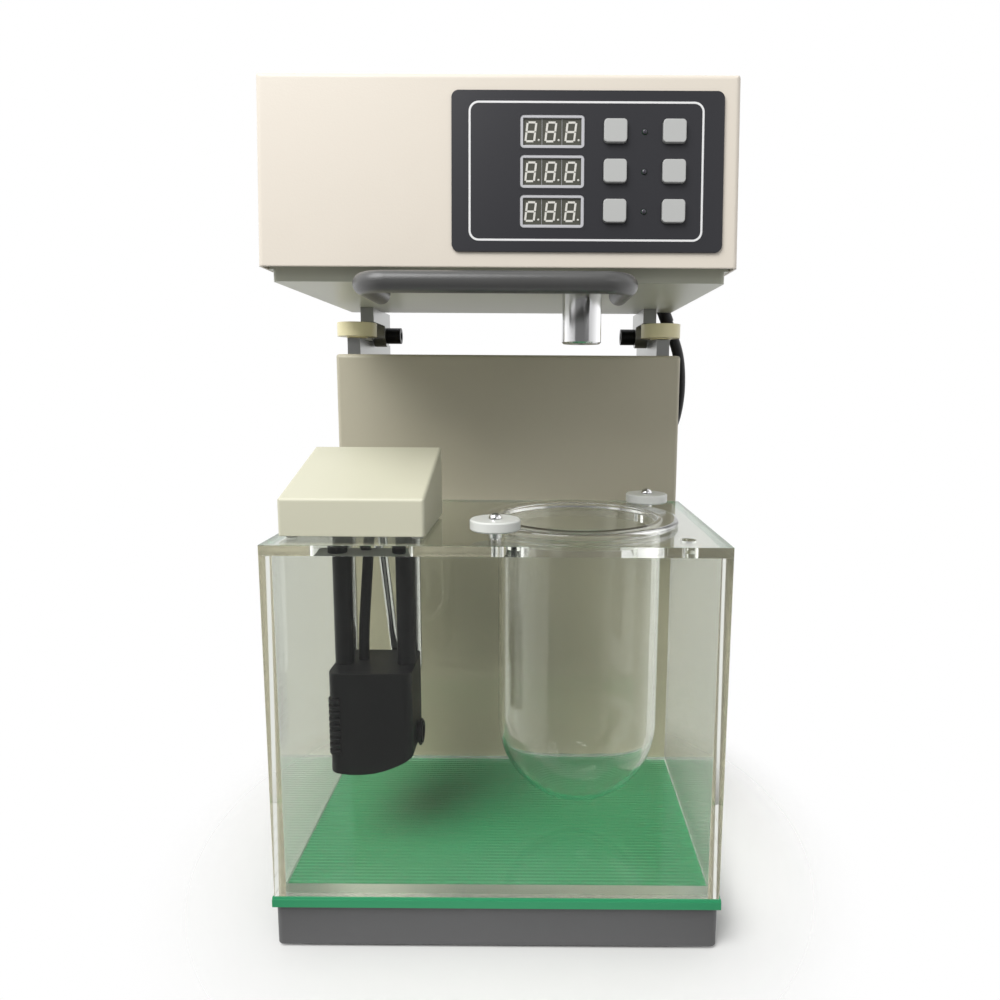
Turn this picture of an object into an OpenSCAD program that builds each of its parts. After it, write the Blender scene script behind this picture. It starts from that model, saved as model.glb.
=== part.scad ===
// Single-vessel dissolution tester: base, acrylic water bath with a glass vessel,
// lift-out heater and pump unit, rear column and a drive head that tilts back.
// +X is to the right, +Y to the rear, +Z up; millimetres.

/* [Base] */
// Width of the base tray beyond the column on each side
base_side = 1; // [1:0.5:6]
// Height of the base tray
base_h = 26; // [20:1:40]
// Sheet thickness of the base tray and its bottom plate
base_t = 2; // [1.2:0.1:3]
// Corner radius of the base tray in plan
base_r = 4; // [3:0.5:8]
// Radius of the base tray's top edge
base_edge = 1; // [0.5:0.1:1.5]
// Setback of the base front behind the bath front
base_in = 1; // [0:0.5:4]
// Height that the rubber feet stand proud
foot_h = 2; // [1:0.5:8]
// Diameter of a rubber foot
foot_d = 18; // [10:1:26]
// Distance of each foot centre from the base edges
foot_in = 24; // [18:1:40]

/* [Mat] */
// Width of the ribbed rubber mat beyond the bath on each side
mat_side = 1; // [0:0.5:4]
// Thickness of the mat over its ribs
mat_t = 6; // [4:0.5:10]
// Spacing of the ribs
rib_pitch = 3; // [2:0.5:6]
// Height of the ribs
rib_h = 1.2; // [0.5:0.1:2]
// Overhang of the mat in front of the bath
mat_front = 1.5; // [0:0.5:4]

/* [Bath] */
// Width of the acrylic bath
bath_w = 266; // [255:1:300]
// Depth of the acrylic bath
bath_d = 164; // [158:1:200]
// Height of the bath with its lid
bath_h = 214.5; // [200:0.5:240]
// Thickness of the acrylic walls, floor and lid
wall = 6; // [4:0.5:8]
// Diameter of the thermometer hole in the lid
thermo_d = 9.5; // [6:0.5:12]
// Thermometer hole from the right edge of the lid
thermo_right = 21.5; // [14:0.5:24]
// Thermometer hole from the front edge of the lid
thermo_front = 20.7; // [14:0.1:24]

/* [Vessel] */
// Outside diameter of the glass vessel
vessel_d = 107; // [98:1:110]
// Glass thickness
vessel_wall = 2.5; // [2:0.1:4]
// Height of the vessel from its round bottom to its rim
vessel_h = 193; // [170:1:200]
// Diameter of the vessel flange
flange_d = 130; // [124:1:134]
// Thickness of the vessel flange
flange_t = 4.5; // [3:0.1:6]
// Vessel axis to the right of the middle
vessel_x = 50.5; // [48:0.5:56]
// Vessel axis behind the bath front
vessel_back = 77; // [72:0.5:84]
// Play between the vessel and the lid hole, on the radius
vessel_play = 1; // [0.5:0.1:2]

/* [Vessel clamps] */
// Diameter of a clamp disc
clamp_d = 30; // [24:1:34]
// Thickness of a clamp disc
clamp_t = 6.5; // [4:0.5:9]
// Distance of the clamp screws from the vessel axis
clamp_reach = 74; // [73:0.5:78]
// Angle of the clamp screws from the X axis
clamp_turn = 45; // [35:1:55]
// Diameter of the clamp screws
clamp_screw_d = 4; // [3:0.5:5]
// Outside diameter of the spacers under the clamp discs
spacer_d = 8; // [7:0.5:14]

/* [Heater unit] */
// Width of the heater cover
cover_w = 85; // [78:1:90]
// Depth of the heater cover
cover_d = 78; // [74:1:84]
// Height of the cover at its front
cover_front_h = 22; // [16:1:30]
// Height of the cover at its rear
cover_rear_h = 46; // [36:1:60]
// Wall thickness of the cover
cover_t = 1.5; // [1:0.1:2]
// Radius of the cover's edges
cover_r = 2; // [1.5:0.1:4]
// Height of the cover's lower edge above the lid
cover_lift = 2; // [1:0.5:4]
// Middle of the heater cover left of the middle of the bath
cover_left = 84.5; // [82:0.5:86]
// Middle of the pump and its tubes left of the middle of the bath
unit_left = 81; // [80:0.5:83]
// Cover front behind the bath front
cover_front = 15; // [12:0.5:20]
// Thickness of the plate that carries the pump and heater
carrier_t = 4; // [3:0.5:6]
// Diameter of the feet under that plate
pad_d = 7; // [5:0.5:8]
// Width of the opening in the lid below the unit
port_w = 62; // [58:1:66]
// Depth of the opening in the lid below the unit
port_d = 57; // [56:0.5:58]
// Diameter of the two pump tubes
tube_d = 12; // [8:0.5:14]
// Spacing of the two pump tubes
tube_gap = 40; // [36:0.5:42]
// Pump top below the lid top
pump_drop = 89; // [70:1:100]
// Width of the pump
pump_w = 52; // [50:1:56]
// Depth of the pump
pump_d = 42; // [38:1:44]
// Height of the pump
pump_h = 67; // [62:1:80]
// Radius of the curved underside of the pump
belly_r = 62; // [58:1:76]
// Ribs on the pump's intake grille
grille_ribs = 9; // [6:1:10]
// Outside diameter of the pump outlet
outlet_d = 17; // [13:0.5:18]
// Diameter of the heater rod
heater_d = 7.5; // [6:0.5:8]
// Spacing of the two heater legs
heater_gap = 43.6; // [38:0.2:46]
// Middle of the heater's bend below the lid top
heater_drop = 99; // [80:1:130]
// Diameter of the temperature probe
probe_d = 6; // [4:0.5:6.5]
// Diameter of the pump cable
pump_cable_d = 7; // [4:0.5:8]

/* [Column] */
// Width of the column
column_w = 264; // [250:1:300]
// Depth of the column
column_d = 130; // [125:1:160]
// Height of the column above the base
column_h = 332.5; // [325:0.5:380]
// Sheet thickness of the column and the head
sheet_t = 1.5; // [1:0.1:2.5]
// Radius of the column's front corners and top edges
column_r = 3; // [2.5:0.1:5]
// Gap between the bath and the column
bath_gap = 2.3; // [1:0.1:6]

/* [Tilt hinge] */
// Middle of each hinge rail from the column's side
rail_side = 12.9; // [9:0.1:15]
// Width of a hinge rail
rail_w = 9.8; // [8:0.1:12]
// Height of a hinge rail
rail_h = 12.5; // [10:0.5:16]
// Length of a hinge rail
rail_len = 115; // [100:1:120]
// Rail front behind the column front
rail_in = 5.7; // [4:0.1:9]
// Tilt axis behind the column front
pivot_back = 55.7; // [48:0.1:62]
// Tilt axis above the column top
pivot_h = 17.2; // [15:0.1:19]
// Diameter of the pivot screws
pivot_d = 8; // [6:0.5:9]
// Head diameter of the pivot screws
pivot_head_d = 13; // [10:0.5:15]
// Head length of the pivot screws
pivot_head_l = 11.5; // [8:0.5:14]
// Radius of the round ends at the tilt axis
lug_r = 9; // [7.5:0.1:10]
// Diameter of the nylon levelling discs
disc_d = 30; // [24:1:34]
// Thickness of the nylon levelling discs
disc_t = 10.5; // [8:0.5:14]
// Disc centre inwards of the rail's middle
disc_off = 0.9; // [0:0.1:1.8]
// Disc centre behind the rail front
disc_in = 8; // [6:0.5:12]
// Diameter of the levelling studs
stud_d = 6; // [5:0.5:7]
// Thickness of the head brackets across the axis
bracket_t = 10; // [8:0.1:12]
// Height of the head brackets' arms
arm_h = 10.9; // [9:0.1:14]

/* [Head] */
// Width of the head
head_w = 267.6; // [262:0.1:290]
// Depth of the head
head_d = 191; // [185:1:196]
// Height of the hood
head_h = 104.8; // [94:0.1:120]
// Hood front behind the bath front
head_setback = 25; // [20:0.5:30]
// Bend radius of the hood's edges
hood_r = 3; // [2.5:0.1:5]
// Angle by which the hood's front leans back
front_slope = 4.4; // [0:0.2:6]
// Height of the bottom plate that shows below the hood
plate_drop = 6.8; // [5:0.1:10]
// Setback of the bottom plate at the sides
plate_side = 4; // [3:0.1:6]
// Setback of the bottom plate at the front
plate_front = 7; // [4:0.5:10]
// Setback of the bottom plate at the rear
plate_rear = 3; // [2.5:0.1:5]
// Sheet thickness of the bottom plate
plate_t = 2; // [1.5:0.1:3]

/* [Handle] */
// Diameter of the handle bar
handle_d = 11.4; // [9:0.1:13]
// Width of the handle over its bar
handle_w = 151.5; // [120:0.5:160]
// Handle front ahead of the hood front
handle_reach = 43.5; // [36:0.5:50]
// Bend radius of the handle's corners, at the bar's middle
handle_bend = 14; // [10:0.5:20]
// Length of the handle legs behind the hood front
handle_leg = 23; // [20:0.5:30]

/* [Control panel] */
// Width of the control panel
panel_w = 150; // [144:1:154]
// Height of the control panel
panel_h = 87; // [80:0.5:88]
// Thickness of the control panel
panel_t = 1.2; // [0.8:0.1:2]
// Corner radius of the control panel
panel_r = 4; // [2:0.5:8]
// Middle of the panel right of the middle of the head
panel_x = 49.5; // [46:0.5:52]
// Panel top below the hood top
panel_top = 9.6; // [7:0.1:10.4]
// Spacing of the display rows
row_pitch = 21.5; // [20:0.5:24]
// Width of a display
display_w = 35.5; // [32:0.5:36]
// Height of a display
display_h = 18; // [15:0.5:18.5]
// Middle of the displays right of the middle of the head
display_x = 30; // [28:0.5:32]
// Middle of the first button column
button_x1 = 64.6; // [62:0.1:67]
// Middle of the second button column
button_x2 = 97; // [94:0.1:99]
// Width of a button
button_w = 12.6; // [10:0.1:13.4]
// Height of a button
button_h = 12.4; // [10:0.1:14]
// Height that a button stands out of the panel
button_out = 2.2; // [1.5:0.1:3]
// Travel of a button
button_travel = 1; // [0.5:0.1:1.4]
// Column of the indicator lamps
lamp_x = 80.8; // [80:0.1:82]

/* [Drive] */
// Diameter of the chuck
chuck_d = 25; // [20:0.5:28]
// Length of the chuck below the head
chuck_drop = 32; // [24:1:38]
// Diameter of the rod socket in the chuck
socket_d = 10.1; // [8:0.1:12]
// Depth of the rod socket
socket_l = 30; // [20:1:34]
// Diameter of the spindle
spindle_d = 10; // [8:0.5:12]
// Radius of the spindle pulley
spindle_pulley_r = 25; // [20:0.5:28]
// Radius of the motor pulley
motor_pulley_r = 12.5; // [10:0.5:16]
// Motor axis right of the middle
motor_x = -26; // [-40:1:-24]
// Motor axis behind the spindle axis
motor_back = 34; // [20:1:50]
// Diameter of the motor
motor_d = 56; // [46:1:60]

/* [Power entry] */
// Thickness of the inlet flange behind the column
inlet_t = 3; // [2.5:0.1:4]
// Middle of the inlet from the column's left side, seen from the front
inlet_in = 61; // [45:1:70]
// Middle of the inlet above the base
inlet_up = 46; // [36:1:60]
// Distance from the inlet to the switch
switch_gap = 46; // [42:1:60]

/* [Head cable] */
// Diameter of the cable from the column to the head
cable_d = 9; // [7:0.5:10]

/* [Fits] */
// Gap between pieces that move past each other
run_gap = 0.3; // [0.2:0.05:0.5]
// Radial play of a shaft that turns in its bore
shaft_play = 0.05; // [0.02:0.01:0.09]
// Play of a fixed piece in its seat
seat_play = 0.02; // [0.01:0.01:0.08]
// Play round a piece in a sheet-metal cut-out
cut_play = 0.2; // [0.1:0.05:0.4]

/* [Hidden] */
$fn = 48;
SIDES = [-1, 1];
far = 1000;

// Paint and material colours
cream = "#E9E0D2";
grey_paint = "#656565";
dark = "#1E1E20";
steel = "#C4C6C8";
alloy = "#D2D3D0";
acrylic = [0.86, 0.94, 0.90, 0.25];
glass = [0.92, 0.96, 0.95, 0.25];

// Widths
base_w = column_w + 2 * base_side;
mat_w = bath_w + 2 * mat_side;
rail_x = column_w / 2 - rail_side;
disc_x = rail_x - disc_off;
inlet_left = column_w / 2 - inlet_in;

// Heights, from the bench up
base_z = foot_h;
mat_z = base_z + base_h;
bath_z = mat_z + mat_t;
lid_top = bath_z + bath_h;
lid_z = lid_top - wall;
column_top = mat_z + column_h;
rail_top = column_top + rail_h;
disc_hub_h = 1;
disc_z = rail_top + run_gap + disc_hub_h;
arm_z = disc_z + disc_t + run_gap;
plate_z = arm_z + arm_h;
hood_z = plate_z + plate_drop;
hood_top = hood_z + head_h;
pivot_z = column_top + pivot_h;

// Depths: the middle of the whole object is at y = 0
total_d = handle_reach - head_setback + bath_d + bath_gap + column_d + inlet_t;
bath_y = handle_reach - head_setback - total_d / 2;
column_y = bath_y + bath_d + bath_gap;
rear_y = column_y + column_d;
base_y = bath_y + base_in;
base_d = rear_y - base_y;
hood_y = bath_y + head_setback;
pivot_y = column_y + pivot_back;
vessel_y = bath_y + vessel_back;
unit_y = bath_y + cover_front + cover_d / 2;

// A rectangle in plan with round corners, centred
module rounded_rect(w, d, r) {
    square([w - 2 * r, d], center = true);
    square([w, d - 2 * r], center = true);
    for (sx = SIDES, sy = SIDES)
        translate([sx * (w / 2 - r), sy * (d / 2 - r)])
            circle(r);
}

// An upright outline of width w, standing on 0, with round top corners
module round_top(w, h, r) {
    translate([-w / 2, 0])
        square([w, h - r]);
    translate([r - w / 2, 0])
        square([w - 2 * r, h]);
    for (s = SIDES)
        translate([s * (w / 2 - r), h - r])
            circle(r);
}

// A box with round upright corners and round top edges, standing on 0
module soft_box(w, d, h, r, edge) {
    intersection() {
        linear_extrude(h)
            rounded_rect(w, d, r);
        translate([0, d / 2, 0])
            rotate([90, 0, 0])
                linear_extrude(d)
                    round_top(w, h, edge);
        translate([-w / 2, 0, 0])
            rotate([90, 0, 90])
                linear_extrude(w)
                    round_top(d, h, edge);
    }
}

// A cylinder along X from x0 to x1
module rod_x(x0, x1, r) {
    translate([x0, 0, 0])
        rotate([0, 90, 0])
            cylinder(h = x1 - x0, r = r);
}

// A cylinder along Y from y0 to y1
module rod_y(y0, y1, r) {
    translate([0, y1, 0])
        rotate([90, 0, 0])
            cylinder(h = y1 - y0, r = r);
}

// A straight rod between two points
module rod_between(a, b, r) {
    v = b - a;
    translate(a)
        rotate([0, acos(v.z / norm(v)), atan2(v.y, v.x)])
            cylinder(h = norm(v), r = r);
}

// Board studs that stand on the base tray inside the column
board_w = 110;
board_d = 66;
board_t = 1.6;
board_x = column_w / 2 - 83;
board_y = rear_y - 65;
stud_h = 8;
stud_r = 3;
stud_in = 5;

module board_corners(w, d) {
    for (sx = SIDES, sy = SIDES)
        translate([sx * (w / 2 - stud_in), sy * (d / 2 - stud_in)])
            children();
}

// Folded steel tray, open below, with pressed-in studs for the power board
module base_tray() {
    color(grey_paint)
        translate([0, base_y + base_d / 2, base_z]) {
            difference() {
                soft_box(base_w, base_d, base_h, base_r, base_edge);
                translate([0, 0, -1])
                    linear_extrude(base_h - base_t + 1)
                        rounded_rect(base_w - 2 * base_t, base_d - 2 * base_t, base_r - base_t);
            }
            translate([board_x, board_y - base_y - base_d / 2, base_h])
                board_corners(board_w, board_d)
                    cylinder(h = stud_h, r = stud_r);
        }
}

// Sheet that closes the tray from below, flush with its rim
module base_bottom_plate() {
    fit = base_t + cut_play;
    color(grey_paint)
        translate([0, base_y + base_d / 2, base_z])
            linear_extrude(base_t)
                rounded_rect(base_w - 2 * fit, base_d - 2 * fit, base_r - base_t);
}

// Four round feet under the bottom plate
module rubber_feet() {
    foot_chamfer = 0.6;
    color(dark)
        for (sx = SIDES, y = [base_y + foot_in, rear_y - foot_in])
            translate([sx * (base_w / 2 - foot_in), y, 0]) {
                cylinder(h = foot_chamfer, d1 = foot_d - 2 * foot_chamfer, d2 = foot_d);
                translate([0, 0, foot_chamfer])
                    cylinder(h = foot_h - foot_chamfer, d = foot_d);
            }
}

// Green mat under the bath, ribbed across the bench
module rubber_mat() {
    mat_d = column_y - run_gap - bath_y + mat_front;
    count = floor(mat_d / rib_pitch);
    crest = 0.4 * rib_pitch;
    flank = 0.15 * rib_pitch;
    valley = mat_t - rib_h;
    ribs = [for (i = [count - 1:-1:0], p = [
        [2 * flank + crest, valley], [flank + crest, mat_t], [flank, mat_t], [0, valley]
    ]) [i * rib_pitch + flank + p[0], p[1]]];
    color("#2F7F52")
        translate([-mat_w / 2, bath_y - mat_front, mat_z])
            rotate([90, 0, 90])
                linear_extrude(mat_w)
                    polygon(concat([[0, 0], [mat_d, 0], [mat_d, valley]], ribs, [[0, valley]]));
}

// Column outline in plan: round corners at the front, square at the rear
module column_plan() {
    translate([0, column_d / 2])
        rounded_rect(column_w, column_d, column_r);
    translate([-column_w / 2, column_d / 2])
        square([column_w, column_d / 2]);
}

// Column outline from the side: round at the top front
module column_side() {
    square([column_d, column_h - column_r]);
    translate([column_r, 0])
        square([column_d - column_r, column_h]);
    translate([column_r, column_h - column_r])
        circle(column_r);
}

back_flange = 12;
back_screw_d = 3;
back_screw_x = column_w / 2 - sheet_t - back_flange / 2;
back_screw_z = [14, column_h / 2, column_h - 16];

module back_screw_places() {
    for (s = SIDES, z = back_screw_z)
        translate([s * back_screw_x, rear_y, mat_z + z])
            children();
}

gland_z = column_top - 69.5;
gland_y = column_y + 64.7;
gland_spigot_r = 6;

// Folded steel column, open at the rear and below, with flanges for the back panel
module column_shell() {
    inner_w = column_w - 2 * sheet_t;
    color(cream)
        difference() {
            translate([0, column_y, mat_z]) {
                difference() {
                    intersection() {
                        linear_extrude(column_h)
                            column_plan();
                        translate([0, column_d, 0])
                            rotate([90, 0, 0])
                                linear_extrude(column_d)
                                    round_top(column_w, column_h, column_r);
                        translate([-column_w / 2, 0, 0])
                            rotate([90, 0, 90])
                                linear_extrude(column_w)
                                    column_side();
                    }
                    translate([-inner_w / 2, sheet_t, -1])
                        cube([inner_w, column_d, column_h - sheet_t + 1]);
                }
                for (s = SIDES)
                    translate([s * (inner_w - back_flange) / 2, column_d - 1.5 * sheet_t, column_h / 2])
                        cube([back_flange, sheet_t, column_h], center = true);
            }
            back_screw_places()
                rod_y(-4 * sheet_t, 1, back_screw_d / 2 + seat_play);
            translate([0, gland_y, gland_z])
                rod_x(column_w / 2 - 2 * sheet_t, column_w / 2 + 1, gland_spigot_r + cut_play);
        }
}

inlet_body = [27.4, 20];
inlet_z = mat_z + inlet_up;
switch_x = -inlet_left + switch_gap;
switch_body = [13, 19];
vent_slots = 9;
vent_pitch = 9;
vent_size = [44, 3.5];
vent_top = 40;

// Flat panel that closes the column's back, with cooling slots
module column_back_panel() {
    panel = [column_w - 2 * sheet_t - 2 * cut_play, sheet_t, column_h - sheet_t - cut_play];
    color(cream)
        difference() {
            translate([-panel.x / 2, rear_y - sheet_t, mat_z])
                cube(panel);
            translate([0, rear_y + 1, 0])
                rotate([90, 0, 0])
                    linear_extrude(sheet_t + 2) {
                        translate([-inlet_left, inlet_z])
                            square(inlet_body + 2 * [cut_play, cut_play], center = true);
                        translate([switch_x, inlet_z])
                            square(switch_body + 2 * [cut_play, cut_play], center = true);
                        for (s = SIDES, i = [0:vent_slots - 1])
                            translate([s * column_w / 5, column_top - vent_top - i * vent_pitch])
                                rounded_rect(vent_size.x, vent_size.y, vent_size.y / 2 - 0.05);
                    }
            back_screw_places()
                rod_y(-2 * sheet_t, 1, back_screw_d / 2 + cut_play);
        }
}

// Pan-head screws that hold the back panel
module back_panel_screws() {
    head_r = 3;
    head_h = 1.8;
    color(steel)
        back_screw_places() {
            rod_y(-3.5 * sheet_t, 0, back_screw_d / 2);
            rod_y(0, head_h, head_r);
        }
}

rail_y = column_y + rail_in;
disc_y = rail_y + disc_in;
ear_r = lug_r - 1;
stud_depth = 9;

// Two bars on the column top, each with an ear for the pivot screw and a hole for its stud
module hinge_rails() {
    color(alloy)
        for (s = SIDES)
            difference() {
                union() {
                    translate([s * rail_x - rail_w / 2, rail_y, column_top])
                        cube([rail_w, rail_len, rail_h]);
                    translate([s * rail_x, pivot_y, pivot_z])
                        rod_x(-rail_w / 2, rail_w / 2, ear_r);
                    translate([s * rail_x - rail_w / 2, pivot_y - ear_r, rail_top - 1])
                        cube([rail_w, 2 * ear_r, pivot_z - rail_top + 1]);
                }
                translate([s * rail_x, pivot_y, pivot_z])
                    rod_x(-rail_w, rail_w, pivot_d / 2 + seat_play);
                translate([s * disc_x, disc_y, rail_top - stud_depth])
                    cylinder(h = stud_depth + 1, d = stud_d + 2 * seat_play);
            }
}

bracket_x = rail_x - rail_w / 2 - 0.8 - bracket_t / 2;
bracket_in = bracket_x - bracket_t / 2;

// Socket-head screws that the head brackets turn on
module pivot_screws() {
    hex_af = 6;
    hex_depth = 5;
    color(dark)
        for (s = SIDES)
            translate([0, pivot_y, pivot_z])
                mirror([s < 0 ? 1 : 0, 0, 0])
                    difference() {
                        union() {
                            rod_x(bracket_in - run_gap - pivot_head_l, bracket_in - run_gap, pivot_head_d / 2);
                            rod_x(bracket_in - run_gap, rail_x + rail_w / 2 - 1, pivot_d / 2);
                        }
                        translate([bracket_in - run_gap - pivot_head_l - 1, 0, 0])
                            rotate([0, 90, 0])
                                cylinder(h = hex_depth + 1, d = hex_af / cos(30), $fn = 6);
                    }
}

// Upright studs that carry the levelling discs
module level_studs() {
    color(steel)
        for (s = SIDES)
            translate([s * disc_x, disc_y, rail_top - stud_depth])
                cylinder(h = stud_depth + disc_z - rail_top + disc_t - 0.6, d = stud_d);
}

// Nylon disc that the head rests on, turned to level the head
module level_disc(s) {
    hub_d = 16;
    color("#D8CC90")
        translate([s * disc_x, disc_y, disc_z])
            difference() {
                union() {
                    cylinder(h = disc_t, d = disc_d);
                    translate([0, 0, -disc_hub_h])
                        cylinder(h = disc_hub_h, d = hub_d);
                }
                translate([0, 0, -disc_hub_h - 1])
                    cylinder(h = disc_t + disc_hub_h + 2, d = stud_d + 2 * shaft_play);
            }
}

// Three-pin mains inlet, snapped into the back panel
module power_inlet() {
    flange = [48, 26];
    flange_corner = 4;
    body_l = 24;
    recess = [24.4, 16.8];
    recess_l = 17;
    key = 4;
    pin = [2, 12, 4];
    pin_gap = 7;
    color(dark)
        translate([-inlet_left, rear_y, inlet_z])
            rotate([90, 0, 0]) {
                difference() {
                    union() {
                        translate([0, 0, -inlet_t])
                            linear_extrude(inlet_t)
                                rounded_rect(flange.x, flange.y, flange_corner);
                        translate([0, 0, -0.5])
                            linear_extrude(body_l + 0.5)
                                square(inlet_body, center = true);
                    }
                    translate([0, 0, -inlet_t - 1])
                        linear_extrude(recess_l + 1)
                            polygon([
                                [-recess.x / 2, recess.y / 2 - key], [key - recess.x / 2, recess.y / 2],
                                [recess.x / 2 - key, recess.y / 2], [recess.x / 2, recess.y / 2 - key],
                                [recess.x / 2, -recess.y / 2], [-recess.x / 2, -recess.y / 2]
                            ]);
                }
                for (i = [-1:1])
                    translate([i * pin_gap, i == 0 ? 2 : -2, recess_l - inlet_t - pin.y / 2])
                        cube([pin.x, pin.z, pin.y], center = true);
            }
}

rocker_w = 10;
rocker_l = 14;
rocker_rest = 8;
rocker_in = 2.4;
bezel_t = 1.2;

// Frame of the mains switch
module switch_bezel() {
    flange = [17, 23];
    well_l = 12;
    color(dark)
        translate([switch_x, rear_y, inlet_z])
            rotate([90, 0, 0])
                difference() {
                    union() {
                        translate([0, 0, -bezel_t])
                            linear_extrude(bezel_t)
                                rounded_rect(flange.x, flange.y, 1.5);
                        translate([0, 0, -0.5])
                            linear_extrude(well_l + 2.5)
                                square(switch_body, center = true);
                    }
                    translate([0, 0, -bezel_t - 1])
                        linear_extrude(well_l + bezel_t + 1)
                            square([rocker_w + 2 * run_gap, rocker_l + 4 * run_gap + 1], center = true);
                    rod_x(-switch_body.x, switch_body.x, 1.5 + shaft_play);
                }
}

// Rocker of the mains switch, turned about a cross pin
module power_rocker() {
    color(dark)
        translate([switch_x, rear_y, inlet_z])
            rotate([rocker_rest, 0, 0])
                union() {
                    translate([-rocker_w / 2, 0, 0])
                        rotate([90, 0, 90])
                            linear_extrude(rocker_w)
                                polygon([
                                    [-rocker_in, -rocker_l / 2], [1, -rocker_l / 2], [0.2, 0], [1, rocker_l / 2],
                                    [-rocker_in, rocker_l / 2], [-2 * rocker_in, 0]
                                ]);
                    rod_x(-switch_body.x / 2 + run_gap, switch_body.x / 2 - run_gap, 1.5);
                }
}

// Mains transformer: laminated core round a wound bobbin, on a foot strap
module transformer() {
    core = [62, 34, 52];
    coil = [40, 58, 34];
    strap = [86, 30, 2];
    place = [69 - column_w / 2, rear_y - 65, mat_z];
    color("#7A6A50")
        translate(place) {
            translate([-strap.x / 2, -strap.y / 2, 0])
                cube(strap);
            translate([-core.x / 2, -core.y / 2, strap.z])
                cube(core);
            translate([0, coil.y / 2, strap.z + core.z / 2])
                rotate([90, 0, 0])
                    linear_extrude(coil.y)
                        rounded_rect(coil.x, coil.z, 6);
        }
}

// Power board on the tray's studs, with capacitors, relays, heat sink and terminals
module power_board() {
    color("#2E6B3E")
        translate([board_x, board_y, mat_z + stud_h]) {
            translate([-board_w / 2, -board_d / 2, 0])
                cube([board_w, board_d, board_t]);
            translate([0, 0, board_t]) {
                for (x = [-40, -24])
                    translate([x, -18, 0])
                        cylinder(h = 22, r = 6.5);
                for (x = [2, 24])
                    translate([x, -26, 0])
                        cube([18, 14, 15]);
                translate([-44, 8, 0])
                    cube([40, 4, 26]);
                for (i = [0:7])
                    translate([-44 + i * 5.3, 11, 0])
                        cube([1.6, 10, 26]);
                translate([6, 18, 0])
                    cube([40, 9, 11]);
            }
        }
}

// Four acrylic walls, glued edge to edge
module bath_walls() {
    height = bath_h - wall - 2 * seat_play;
    color(acrylic)
        translate([0, bath_y, bath_z + seat_play]) {
            for (y = [0, bath_d - wall])
                translate([-bath_w / 2, y, 0])
                    cube([bath_w, wall, height]);
            for (x = [-bath_w / 2, bath_w / 2 - wall])
                translate([x, wall, 0])
                    cube([wall, bath_d - 2 * wall, height]);
        }
}

// Acrylic floor between the walls
module bath_floor() {
    color(acrylic)
        translate([0, bath_y + bath_d / 2, bath_z + seat_play])
            linear_extrude(wall)
                square([bath_w, bath_d] - 2 * (wall + seat_play) * [1, 1], center = true);
}

port_y = bath_y + cover_front + 46;

module clamp_places() {
    for (a = [clamp_turn, clamp_turn + 180])
        translate([vessel_x + clamp_reach * cos(a), vessel_y + clamp_reach * sin(a), 0])
            children();
}

// Acrylic lid with the vessel hole, the heater opening and the thermometer hole
module bath_lid() {
    port_r = 6;
    color(acrylic)
        difference() {
            translate([-bath_w / 2, bath_y, lid_z])
                cube([bath_w, bath_d, wall]);
            translate([vessel_x, vessel_y, lid_z - 1])
                cylinder(h = wall + 2, d = vessel_d + 2 * vessel_play);
            translate([-unit_left, port_y, lid_z - 1])
                linear_extrude(wall + 2)
                    rounded_rect(port_w, port_d, port_r);
            translate([bath_w / 2 - thermo_right, bath_y + thermo_front, lid_z - 1])
                cylinder(h = wall + 2, d = thermo_d);
            clamp_places()
                translate([0, 0, lid_z - 1])
                    cylinder(h = wall + 2, d = clamp_screw_d + 2 * seat_play);
        }
}

flange_z = lid_top + flange_t;

// Half section of the vessel, from its axis outwards
module vessel_section() {
    outer = vessel_d / 2;
    inner = outer - vessel_wall;
    low = flange_z - vessel_h;
    middle = low + outer;
    bead = flange_t / 2;
    intersection() {
        translate([0, low - 1])
            square([far, vessel_h + 2]);
        difference() {
            union() {
                translate([0, middle])
                    circle(outer);
                translate([0, middle])
                    square([outer, flange_z - middle]);
                translate([0, lid_top])
                    square([flange_d / 2 - bead, flange_t]);
                translate([flange_d / 2 - bead, lid_top + bead])
                    circle(bead);
            }
            translate([0, middle])
                circle(inner);
            translate([-1, middle])
                square([inner + 1, vessel_h]);
        }
    }
}

// Round-bottomed glass vessel hung by its flange
module vessel() {
    color(glass)
        translate([vessel_x, vessel_y, 0])
            rotate_extrude($fn = 96)
                vessel_section();
}

clamp_z = flange_z + run_gap;
clamp_edge = 0.8;

// One frosted disc that holds the flange down
module clamp_disc(a) {
    color([0.95, 0.96, 0.95, 0.7])
        translate([vessel_x + clamp_reach * cos(a), vessel_y + clamp_reach * sin(a), clamp_z])
            difference() {
                union() {
                    cylinder(h = clamp_edge, d1 = clamp_d - 2 * clamp_edge, d2 = clamp_d);
                    translate([0, 0, clamp_edge])
                        cylinder(h = clamp_t - 2 * clamp_edge, d = clamp_d);
                    translate([0, 0, clamp_t - clamp_edge])
                        cylinder(h = clamp_edge, d1 = clamp_d, d2 = clamp_d - 2 * clamp_edge);
                }
                translate([0, 0, -1])
                    cylinder(h = clamp_t + 2, d = clamp_screw_d + 2 * shaft_play);
            }
}

// Round-head screws through the clamp discs into the lid
module clamp_screws() {
    head_r = 4;
    head_sink = 0.6;
    head_z = clamp_z + clamp_t + run_gap;
    color(steel)
        clamp_places() {
            translate([0, 0, lid_z])
                cylinder(h = head_z - lid_z + 1, d = clamp_screw_d);
            translate([0, 0, head_z])
                difference() {
                    translate([0, 0, -head_sink])
                        sphere(head_r);
                    translate([-head_r - 1, -head_r - 1, -2 * head_r])
                        cube([2 * head_r + 2, 2 * head_r + 2, 2 * head_r]);
                }
        }
}

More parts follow.
